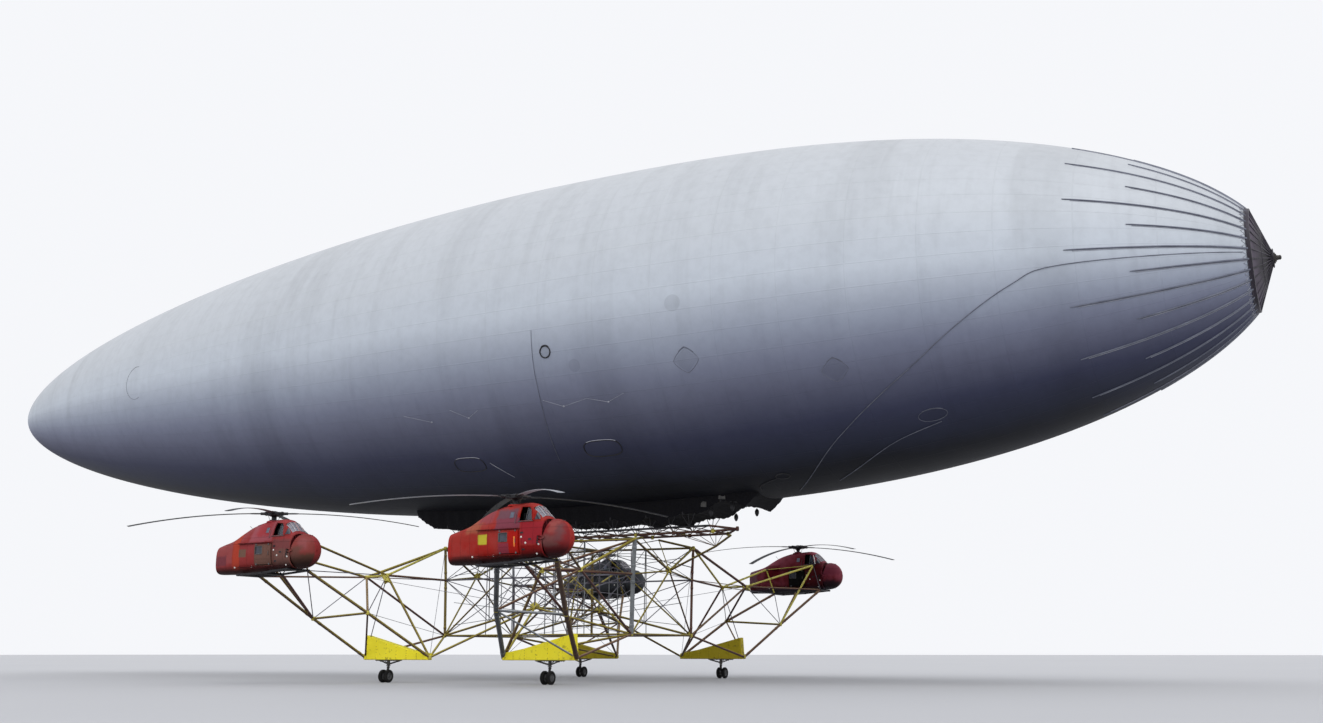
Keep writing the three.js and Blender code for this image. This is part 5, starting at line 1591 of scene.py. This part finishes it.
# %% Tail bulkhead
tail = Shape()
rim = section_ring(TAIL_X)
middle = [Vector((TAIL_X, 0, -2.68))] * AROUND
tail.rings([mixed(rim, middle, 0.02, TAIL_X + 0.05), mixed(rim, middle, 0.0, TAIL_X + 0.0),
            mixed(rim, middle, 0.05, TAIL_X - 0.02), mixed(rim, middle, 0.14, TAIL_X - 0.02),
            mixed(rim, middle, 0.16, TAIL_X + 0.06), mixed(rim, middle, 0.97, TAIL_X + 0.07)])
for z in (-3.2, -2.85, -2.5, -2.15):
    half = on_side(TAIL_X, z, 1).y - 0.1
    tail.block((TAIL_X + 0.0, -half, z - 0.025), (TAIL_X + 0.06, half, z + 0.025), 0.012, 1)
for y in (-0.25, 0.25):
    tail.block((TAIL_X + 0.01, y - 0.02, -3.36), (TAIL_X + 0.06, y + 0.02, -2.0), 0.01, 1)
for angle in range(0, 360, 24):
    point = rim[int(angle / 360 * AROUND)].lerp(middle[0], 0.1)
    tail.turned((TAIL_X - 0.018, *point.yz), (-1, 0, 0), [(0, 0.022), (0.014, 0.018)], 6, 1)
at_corners("tail_bulkhead", tail, ["paint_CORNER", "dark_metal"])

cabin = Shape()
cabin.block((-3.75, -0.5, -3.36), (2.15, 0.5, -3.28), 0.02)
cabin.block((0.7, -0.72, -1.86), (2.1, 0.72, -1.8), 0.02)
cabin.block((1.82, -0.6, -1.8), (2.02, 0.6, -1.42), 0.05)
cabin.block((-0.5, -0.6, -1.82), (0.72, 0.6, -1.76), 0.02)
for y in (-0.4, 0.4):
    cabin.block((1.0, y - 0.22, -1.78), (1.42, y + 0.22, -1.62), 0.06, 1)
    cabin.block((0.94, y - 0.22, -1.66), (1.06, y + 0.22, -0.96), 0.05, 1)
    cabin.tube((1.62, y, -1.7), (1.5, y, -1.42), 0.018, 8)
for x in (-3.4, -2.6, -1.8, -1.0):
    frame_ring = [p for p in section_ring(x, -SKIN - 0.04, 40)]
    cabin.bent_tube(frame_ring, 0.03, 5, 0, True)
at_corners("cabin", cabin, ["cabin_dark", "dark_cloth"])
print("cabin", len(cabin.faces), "faces")

# %% [markdown]
# ## Windows and doors
# Every opening gets a rubbed metal frame that follows the curve of the side, and a pane just inside
# the skin. The cargo door stands off the skin on its rails, so it is a second skin with ribs and its
# own window. A frame is a bent tube, because a tube keeps its thickness round a tight corner.

# %% Window frames and glass
def along_edges(outline, steps=6):
    points = []
    for (x0, z0), (x1, z1) in zip(outline, outline[1:] + outline[:1]):
        points += [(x0 + (x1 - x0) * i / steps, z0 + (z1 - z0) * i / steps) for i in range(steps)]
    return points


def side_frame(shape, outline, side, lift, radius, finish=0):
    shape.bent_tube([on_side(x, z, side, lift) for x, z in along_edges(outline)], radius, 6, finish, True)


def side_pane(shape, outline, side, lift, thick=0.02, finish=0):
    points = along_edges(outline)
    middle_x = sum(p[0] for p in points) / len(points)
    middle_z = sum(p[1] for p in points) / len(points)
    rings = []
    for share, depth in ((0.02, 0), (0.5, 0), (1, 0), (1, thick), (0.5, thick), (0.02, thick)):
        rings.append([on_side(middle_x + (x - middle_x) * share, middle_z + (z - middle_z) * share, side,
                              lift + depth) for x, z in points])
    shape.rings(rings, finish, True)


def roof_slope(x, y, lift=0.0):
    """A point of the sloping windscreen at a station and distance out."""
    ring = section_ring(x, lift, 160)
    near = min((p for p in ring if p.z > -1.7), key=lambda p: abs(p.y - y))
    return Vector((x, y, near.z))


SCREEN_X = (1.64, 2.14)
PORT_CABIN_WINDOW = [(0.1, -2.35), (0.6, -2.35), (0.6, -1.95), (0.1, -1.95)]
frames, glass = Shape(), Shape()
for side in (-1, 1):
    side_frame(frames, SIDE_WINDOW, side, 0.005, 0.022, 1)
    frames.bent_tube([on_side(x, -1.415, side, 0.03) for x in (0.78, 1.1, 1.4, 1.7)], 0.02, 6, 0)
    quarter = [(1.76, -1.36), (2.1, -1.36), (2.04, -1.18), (1.8, -0.9)]
    side_pane(glass, quarter, side, 0.0, 0.008, 2)
    side_frame(frames, quarter, side, 0.008, 0.018, 1)
    frames.bent_tube([on_side(x, z, side, 0.01) for x, z in ((1.72, -1.4), (1.62, -1.0), (1.5, -0.72))],
                     0.035, 6, 2)
    frames.bent_tube([on_side(1.24, z, side, -0.03) for z in (-1.4, -1.15, -0.9, -0.66)], 0.014, 6)
    for low, high in ((0.05, 0.3), (0.33, 0.56)):
        corners = [(SCREEN_X[0], low), (SCREEN_X[1], low), (SCREEN_X[1], high), (SCREEN_X[0], high)]
        outline = [roof_slope(x, side * y, 0.008) for x, y in along_edges(corners, 4)]
        frames.bent_tube(outline, 0.018, 6, 3, True)
        pane = [roof_slope(x, side * y, -SKIN * 0.5) for x, y in corners]
        glass.sheet(pane, 0.02, 3)
        frames.tube(roof_slope(1.9, side * low, 0.0), roof_slope(1.9, side * high, 0.0), 0.012, 6, 3)
side_pane(glass, SIDE_WINDOW, 1, -SKIN - 0.03)
side_pane(glass, [(1.24, -1.40), (1.66, -1.40), (1.52, -0.86), (1.36, -0.66), (1.24, -0.65)], -1,
          -SKIN - 0.03)
side_frame(frames, PORT_CABIN_WINDOW, 1, 0.005, 0.025)
side_pane(glass, PORT_CABIN_WINDOW, 1, -0.005, 0.012, 1)
at_corners("window_frames", frames,
           ["wheel_metal", "paint_CORNER", "pillar_CORNER", "frame_pale"])
at_corners("cockpit_panes", glass,
           ["window_glass", "dark_metal", "dark_pane", "hazy_glass"], nodes=["cockpit_glass"])
print("frames", len(frames.faces), "glass", len(glass.faces))

# %% Cargo door
DOOR_GAP, DOOR_THICK = 0.05, 0.045
DOOR_WINDOW = [(-0.34, -2.42), (0.18, -2.42), (0.18, -1.98), (-0.34, -1.98)]


def door_mesh():
    slab = Shape()
    xs = [DOOR_REAR + (DOOR_FRONT - DOOR_REAR) * i / 12 for i in range(13)]
    zs = [DOOR_LOW + (DOOR_HIGH - DOOR_LOW) * i / 12 for i in range(13)]
    rings = []
    for x in xs:
        outer = [on_side(x, z, -1, DOOR_GAP + DOOR_THICK) for z in zs]
        inner = [on_side(x, z, -1, DOOR_GAP) for z in zs[::-1]]
        rings.append(outer + inner)
    slab.rings(rings)
    hole = Shape()
    side_prism(hole, DOOR_WINDOW, -1.3, -0.4)
    mesh = cut(mesh_of("door", slab), hole)
    smooth(mesh, 30)
    return mesh


at_corners("cargo_door_skin", door_mesh(), ["paint_CORNER"], "cargo_door", ["cargo_door"])
fittings = Shape()
edge_x, edge_z = (DOOR_REAR + 0.03, DOOR_FRONT - 0.03), (DOOR_LOW + 0.03, DOOR_HIGH - 0.03)
side_frame(fittings, [(edge_x[0], edge_z[0]), (edge_x[1], edge_z[0]), (edge_x[1], edge_z[1]),
                      (edge_x[0], edge_z[1])],
           -1, DOOR_GAP + DOOR_THICK, 0.014, 0)
side_frame(fittings, DOOR_WINDOW, -1, DOOR_GAP + DOOR_THICK, 0.026, 1)
side_pane(fittings, DOOR_WINDOW, -1, DOOR_GAP + 0.012, 0.014, 3)
for x in (0.3, 0.56):
    fittings.bent_tube([on_side(x, z, -1, DOOR_GAP + DOOR_THICK) for z in (-2.94, -2.6, -2.3, -1.94)],
                       0.012, 6)
fittings.bent_tube([on_side(x, -2.7, -1, DOOR_GAP + DOOR_THICK) for x in (-0.36, 0, 0.4, 0.8)], 0.012, 6)
fittings.bent_tube([on_side(x, z, -1, DOOR_GAP + DOOR_THICK + out) for x, z, out in (
    (0.72, -2.5, 0), (0.72, -2.48, 0.04), (0.72, -2.3, 0.04), (0.72, -2.28, 0))], 0.016, 8, 1)
for x in (DOOR_REAR + 0.15, DOOR_FRONT - 0.15):
    for z in (DOOR_HIGH - 0.02, DOOR_LOW + 0.02):
        roller = on_side(x, z, -1, DOOR_GAP + DOOR_THICK * 0.5)
        fittings.turned(roller + Vector((0, -0.035, 0)), (0, -1, 0),
                        [(0, 0.05), (0.02, 0.05), (0.024, 0.02)], 14, 1)
bar = [(0.6, -2.72), (0.69, -2.72), (0.69, -2.18), (0.6, -2.18)]
side_pane(fittings, bar, -1, DOOR_GAP + DOOR_THICK - 0.004, 0.01, 2)
at_corners("cargo_door_fittings", fittings,
           ["paint_CORNER", "wheel_metal", "bar_CORNER", "dark_pane"], "cargo_door")
print("door fittings", len(fittings.faces))

# %% [markdown]
# ## Rails, ears and small fittings
# What is bolted to the outside of the shell gives it its scale: door rails, hinge ears, steps, lamps,
# a vent slot, an exhaust and a fairing behind the mast. They are small, but the eye measures the
# fuselage by them.

# %% Fittings on the shell
RAIL_ENDS = (-1.78, 0.92)
HINGE_X, HINGE_OUT = 2.37, 0.94
fit = Shape()
for z, inner, outer in ((DOOR_HIGH + 0.09, 0.81, 0.985), (DOOR_LOW - 0.09, 0.71, 0.895)):
    fit.block((RAIL_ENDS[0], -outer, z - 0.022), (RAIL_ENDS[1], -inner, z + 0.022), 0.01)
    fit.block((RAIL_ENDS[0], -outer, z - 0.03), (RAIL_ENDS[1], -outer + 0.02, z + 0.03), 0.008)
    for x in (RAIL_ENDS[0] + 0.04, -1.1, -0.42, 0.24, RAIL_ENDS[1] - 0.04):
        fit.block((x - 0.03, -outer - 0.0, z - 0.03), (x + 0.03, -inner, z + 0.03), 0.012, 1)
for side in (-1, 1):
    for level in (-0.0825, 0.0825):
        for front, inside in ((2.25, 0.82), (HINGE_X + 0.03, HINGE_OUT - 0.03)):
            near, far = sorted((side * inside, side * (HINGE_OUT + 0.03)))
            fit.block((2.1, near, BULB_Z + level - 0.0275), (front, far, BULB_Z + level + 0.0275), 0.015)
    for x, z in ((1.02, -2.22), (1.28, -2.53), (2.1, -2.62), (1.9, -3.08), (-0.78, -3.1), (-2.15, -3.12)):
        lamp = on_side(x, z, side)
        fit.turned(lamp - Vector((0, side * 0.02, 0)), (0, side, 0), [
            (0, 0.055), (0.03, 0.055), (0.035, 0.04), (0.05, 0.036), (0.062, 0.012)], 14, 2)
    for x, z in ((1.12, -2.85), (1.05, -2.0), (1.55, -2.35)):
        side_pane(fit, [(x - 0.1, z - 0.05), (x + 0.1, z - 0.05), (x + 0.1, z + 0.05), (x - 0.1, z + 0.05)],
                  side, -0.006, 0.012, 3)
        side_frame(fit, [(x - 0.1, z - 0.05), (x + 0.1, z - 0.05), (x + 0.1, z + 0.05), (x - 0.1, z + 0.05)],
                   side, 0.002, 0.01)
    slot = [(1.92, -2.64), (2.12, -2.64), (2.12, -2.18), (2.0, -2.18)]
    side_pane(fit, slot, side, -0.01, 0.014, 3)
    side_frame(fit, slot, side, 0.004, 0.02)
    for k in range(5):
        z = -2.59 + k * 0.09
        fit.tube(on_side(1.95, z, side, 0.012), on_side(2.1, z, side, 0.012), 0.012, 5)
    hatch = [(0.16, -1.2), (0.44, -1.2), (0.44, -0.88), (0.16, -0.88)]
    side_pane(fit, hatch, side, -0.006, 0.012, 4)
    side_frame(fit, hatch, side, 0.002, 0.014)
    grab = [on_side(x, z, side, out) for x, z, out in (
        (0.62, -1.5, 0), (0.62, -1.5, 0.07), (0.62, -1.05, 0.07), (0.62, -1.05, 0))]
    fit.bent_tube(grab, 0.014, 6, 1)
exhaust = [on_side(1.5, -3.05, 1, 0.0), on_side(1.4, -3.08, 1, 0.06), on_side(1.1, -3.12, 1, 0.1),
           on_side(0.8, -3.14, 1, 0.1)]
fit.bent_tube(exhaust, 0.085, 12, 3)
for y in (-0.34, 0.34):
    ridge = [roof_slope(x, y, 0.012) for x in (-0.9, -0.4, 0.1, 0.6, 1.05)]
    fit.bent_tube(ridge, 0.02, 6)
fit.turned((0, 0, section_at(0)[1] - 0.08), (0, 0, 1), [
    (0, 0.42), (0.07, 0.4), (0.1, 0.34), (0.12, 0.22), (0.1, 0.15), (0.02, 0.15)], 32)
antenna = roof_slope(-1.7, 0, 0)
fit.bent_tube([antenna, antenna + Vector((0, 0, 0.1)), antenna + Vector((-0.2, 0, 0.26))], 0.012, 6, 3)
at_corners("shell_fittings", fit,
           ["paint_CORNER", "wheel_metal", "lamp_white", "dark_metal", "hatch_grey"])
print("fittings", len(fit.faces))

# %% [markdown]
# ## Nose doors and engine
# The round nose opens as two half shells on hinges, and behind it sits a nine-cylinder radial
# engine. The half shells are swept from one outline, outer and inner skin in one go, so they have a
# real edge when they are open. Each cylinder is a turned stack of thin fins.

# %% Nose doors
BULB_STEPS = 22
BULB_ACROSS = 30
NOSE_GAP = 0.006


def bulb_point(t, angle, inset):
    """A point of the nose: t runs from the rear edge to the tip, and the angle turns from port."""
    radius = max(1 - t ** BULB_POWER, 0) ** (1 / BULB_POWER)
    y = (BULB_HALF - inset) * radius * math.cos(angle)
    z = (BULB_TALL - inset) * radius * math.sin(angle)
    rear = BULB_REAR + BULB_LEAN * max(z, 0) / 1.1
    return Vector((rear + (BULB_FRONT - inset - rear) * t, y, BULB_Z + z))


def nose_door(side):
    shape = Shape()
    rings = []
    for i in range(BULB_STEPS + 1):
        t = math.sin(i / BULB_STEPS * math.pi / 2) if i < BULB_STEPS else 0.9995
        ring = []
        for inset, order in ((0.0, 1), (BULB_WALL, -1)):
            for k in list(range(BULB_ACROSS + 1))[::order]:
                angle = math.pi / 2 * (1 - 2 * k / BULB_ACROSS)
                point = bulb_point(t, angle, inset)
                point.y = side * max(point.y, NOSE_GAP)
                ring.append(point)
        rings.append(ring)
    shape.rings(rings)
    y = side * HINGE_OUT
    shape.tube((HINGE_X, y, BULB_Z - 0.05), (HINGE_X, y, BULB_Z + 0.05), 0.032, 16)
    near, far = sorted((side * 0.78, side * (HINGE_OUT + 0.02)))
    shape.block((HINGE_X, near, BULB_Z - 0.045), (BULB_REAR + 0.16, far, BULB_Z + 0.045), 0.012)
    for t, degrees in ((0.0, 72), (0.0, -72), (0.45, 84), (0.45, -84)):
        latch = bulb_point(t + 0.04, math.radians(degrees), 0.0)
        latch.y *= side
        shape.block(latch - Vector((0.05, 0.03, 0.015)), latch + Vector((0.05, 0.03, 0.015)), 0.01, 1)
    for k in range(7):
        angle = math.radians(-66 + 22 * k)
        rib = [bulb_point(t, angle, BULB_WALL) for t in (0.04, 0.3, 0.55, 0.78)]
        shape.bent_tube([Vector((p.x, p.y * side, p.z)) for p in rib], 0.018, 5, 2)
    return mesh_of("nose_door", shape, 30)


for side_name, side in SIDES.items():
    at_corners(f"nose_shell_{side_name}", nose_door(side), ["paint_CORNER", "wheel_metal", "dark_metal"],
               f"nose_door_{side_name}", [f"nose_door_{side_name}"])
print("nose doors 8")

# %% Engine
CYLINDERS = 9
engine = Shape()
engine.turned((2.256, 0, BULB_Z), (1, 0, 0), [
    (0, 0.6), (0.03, 0.6), (0.04, 0.3), (0.16, 0.3), (0.2, 0.26), (0.44, 0.26), (0.48, 0.22), (0.54, 0.2),
    (0.59, 0.14), (0.64, 0.1), (0.68, 0.06)], 36)
fins = [(0.2, 0.09)]
for k in range(11):
    z = 0.26 + k * 0.026
    fins += [(z, 0.085), (z, 0.105), (z + 0.012, 0.105), (z + 0.012, 0.085)]
fins += [(0.55, 0.085), (0.56, 0.1), (0.6, 0.08)]
for i in range(CYLINDERS):
    angle = 2 * math.pi * (i + 0.25) / CYLINDERS
    out = Vector((0, math.cos(angle), math.sin(angle)))
    across = Vector((0, -math.sin(angle), math.cos(angle)))
    foot = Vector((2.6, 0, BULB_Z))
    engine.turned(foot, out, fins, 14, 0)
    for sway in (-0.04, 0.04):
        engine.tube(foot + Vector((0.12, 0, 0)) + out * 0.22 + across * sway, foot + Vector((0.08, 0, 0))
                    + out * 0.56 + across * sway, 0.012, 6, 1)
    pipe = [foot + out * 0.5 + across * 0.08, foot + Vector((-0.12, 0, 0)) + out * 0.53 + across * 0.1,
            foot + Vector((-0.24, 0, 0)) + out * 0.52 + across * 0.06]
    engine.bent_tube(pipe, 0.03, 8, 1)
ring_points = [(2.4, 0.53 * math.cos(t), BULB_Z + 0.53 * math.sin(t)) for t in (
    2 * math.pi * k / 40 for k in range(40))]
engine.bent_tube(ring_points, 0.05, 8, 1, True)
at_corners("radial_engine", mesh_of("radial_engine", engine, 30), ["engine_metal", "dark_metal"],
           nodes=["engine"])
print("engine", len(engine.faces), "faces")

# %% [markdown]
# ## Rotors
# Four blades droop from a hub that stands on a short mast. The hub has hinge pins, dampers, a
# swashplate and push rods. A blade is an airfoil section carried out along a curve that bends more
# and more, so the tip hangs lowest, as a still rotor's does.

# %% Rotor
ROTOR_RADIUS = 8.53
BLADE_ROOT = 1.0
BLADE_DROOP = 0.75
BLADE_LEAD, BLADE_CHORD, BLADE_THICK = -0.12, 0.42, 0.055
CUFF = [(0.66, 0.07), (0.86, 0.13), (1.2, 0.13), (1.42, 0.04)]
BLADE_TURNS = {"front_starboard": 49, "rear_starboard": 29.4, "front_port": 50, "rear_port": -30.7}


# Blades painted pale as a painted highlight, where they catch the light.
HIGHLIGHT_BLADES = {"front_starboard": (2, 3)}


def airfoil(thick, count=9):
    """A closed section: leading edge first, along the top and back along the bottom."""
    half = []
    for i in range(count):
        t = (i / (count - 1)) ** 1.6
        shape = 2.2 * (0.37 * math.sqrt(t) - 0.11 * t - 0.26 * t * t)
        half.append((BLADE_LEAD + BLADE_CHORD * t, max(shape, 0.02) * thick * 1.25))
    return half + [(across, -up) for across, up in half[::-1]]


def blade_drop(reach):
    return -BLADE_DROOP * (max(reach - BLADE_ROOT, 0) / (ROTOR_RADIUS - BLADE_ROOT)) ** 2


def lay_blade(shape, degrees, finish):
    shape.matrix = Matrix.Rotation(math.radians(degrees), 4, "Z")
    steps = 20
    section = airfoil(BLADE_THICK)
    rings = []
    for i in range(steps + 1):
        reach = BLADE_ROOT + (ROTOR_RADIUS - BLADE_ROOT) * i / steps
        drop = blade_drop(reach)
        rings.append([(reach, across, drop + up) for across, up in section])
    shape.rings(rings, finish)
    corners = ((-1, -1), (1, -1), (1, 1), (-1, 1))
    shape.rings([[(reach, 0.02 + side * wide, side_up * 0.03) for side, side_up in corners]
                 for reach, wide in CUFF], 1)
    shape.tube((0.28, 0, 0), (0.8, 0, 0), 0.085, 12, 1)
    shape.tube((0.46, 0, -0.12), (0.46, 0, 0.12), 0.06, 12, 1)
    shape.tube((0.62, -0.1, 0), (0.62, 0.14, 0), 0.035, 10, 2)
    shape.tube((0.2, -0.12, 0.03), (0.6, -0.11, 0.03), 0.028, 8, 2)
    shape.bent_tube([(0.66, 0.12, 0), (0.42, 0.2, -0.04), (0.3, 0.22, -0.12)], 0.02, 6, 1)
    shape.tube((0.3, 0.22, -0.1), (0.2, 0.2, -0.36), 0.014, 6, 2)
    for reach in (1.06, 1.2, 1.34):
        shape.tube((reach, 0.02, -0.036), (reach, 0.02, 0.036), 0.018, 6, 2)


def rotor_mesh(turn, light):
    """Four blades and a head. The list names the blades painted pale as a highlight."""
    shape = Shape()
    shape.turned((0, 0, -0.85), (0, 0, 1), [
        (0, 0.1), (0.36, 0.1), (0.38, 0.24), (0.42, 0.28), (0.48, 0.26), (0.5, 0.12), (0.62, 0.12),
        (0.68, 0.2),
        (0.72, 0.34), (0.76, 0.38), (0.9, 0.38), (0.94, 0.3), (0.98, 0.16), (1.0, 0.1), (1.01, 0.03)], 28, 1)
    for i in range(4):
        shape.matrix = Matrix.Rotation(math.radians(turn + 90 * i), 4, "Z")
        shape.block((0.1, -0.12, -0.1), (0.56, 0.12, -0.05), 0.015, 1)
        shape.block((0.1, -0.12, 0.05), (0.56, 0.12, 0.1), 0.015, 1)
        lay_blade(shape, turn + 90 * i, 3 if i in light else 0)
    return mesh_of("rotor", shape, 30)


for corner, move in HUB_MOVES.items():
    mesh = rotor_mesh(BLADE_TURNS[corner], HIGHLIGHT_BLADES.get(corner, ()))
    mesh.transform(move)
    piece(f"rotor_set_{corner}", mesh, ["blade_paint", "dark_metal", "gear_steel", "blade_highlight"],
          f"rotor_{corner}", [f"rotor_{corner}"])
print("rotors", len(HUB_MOVES))
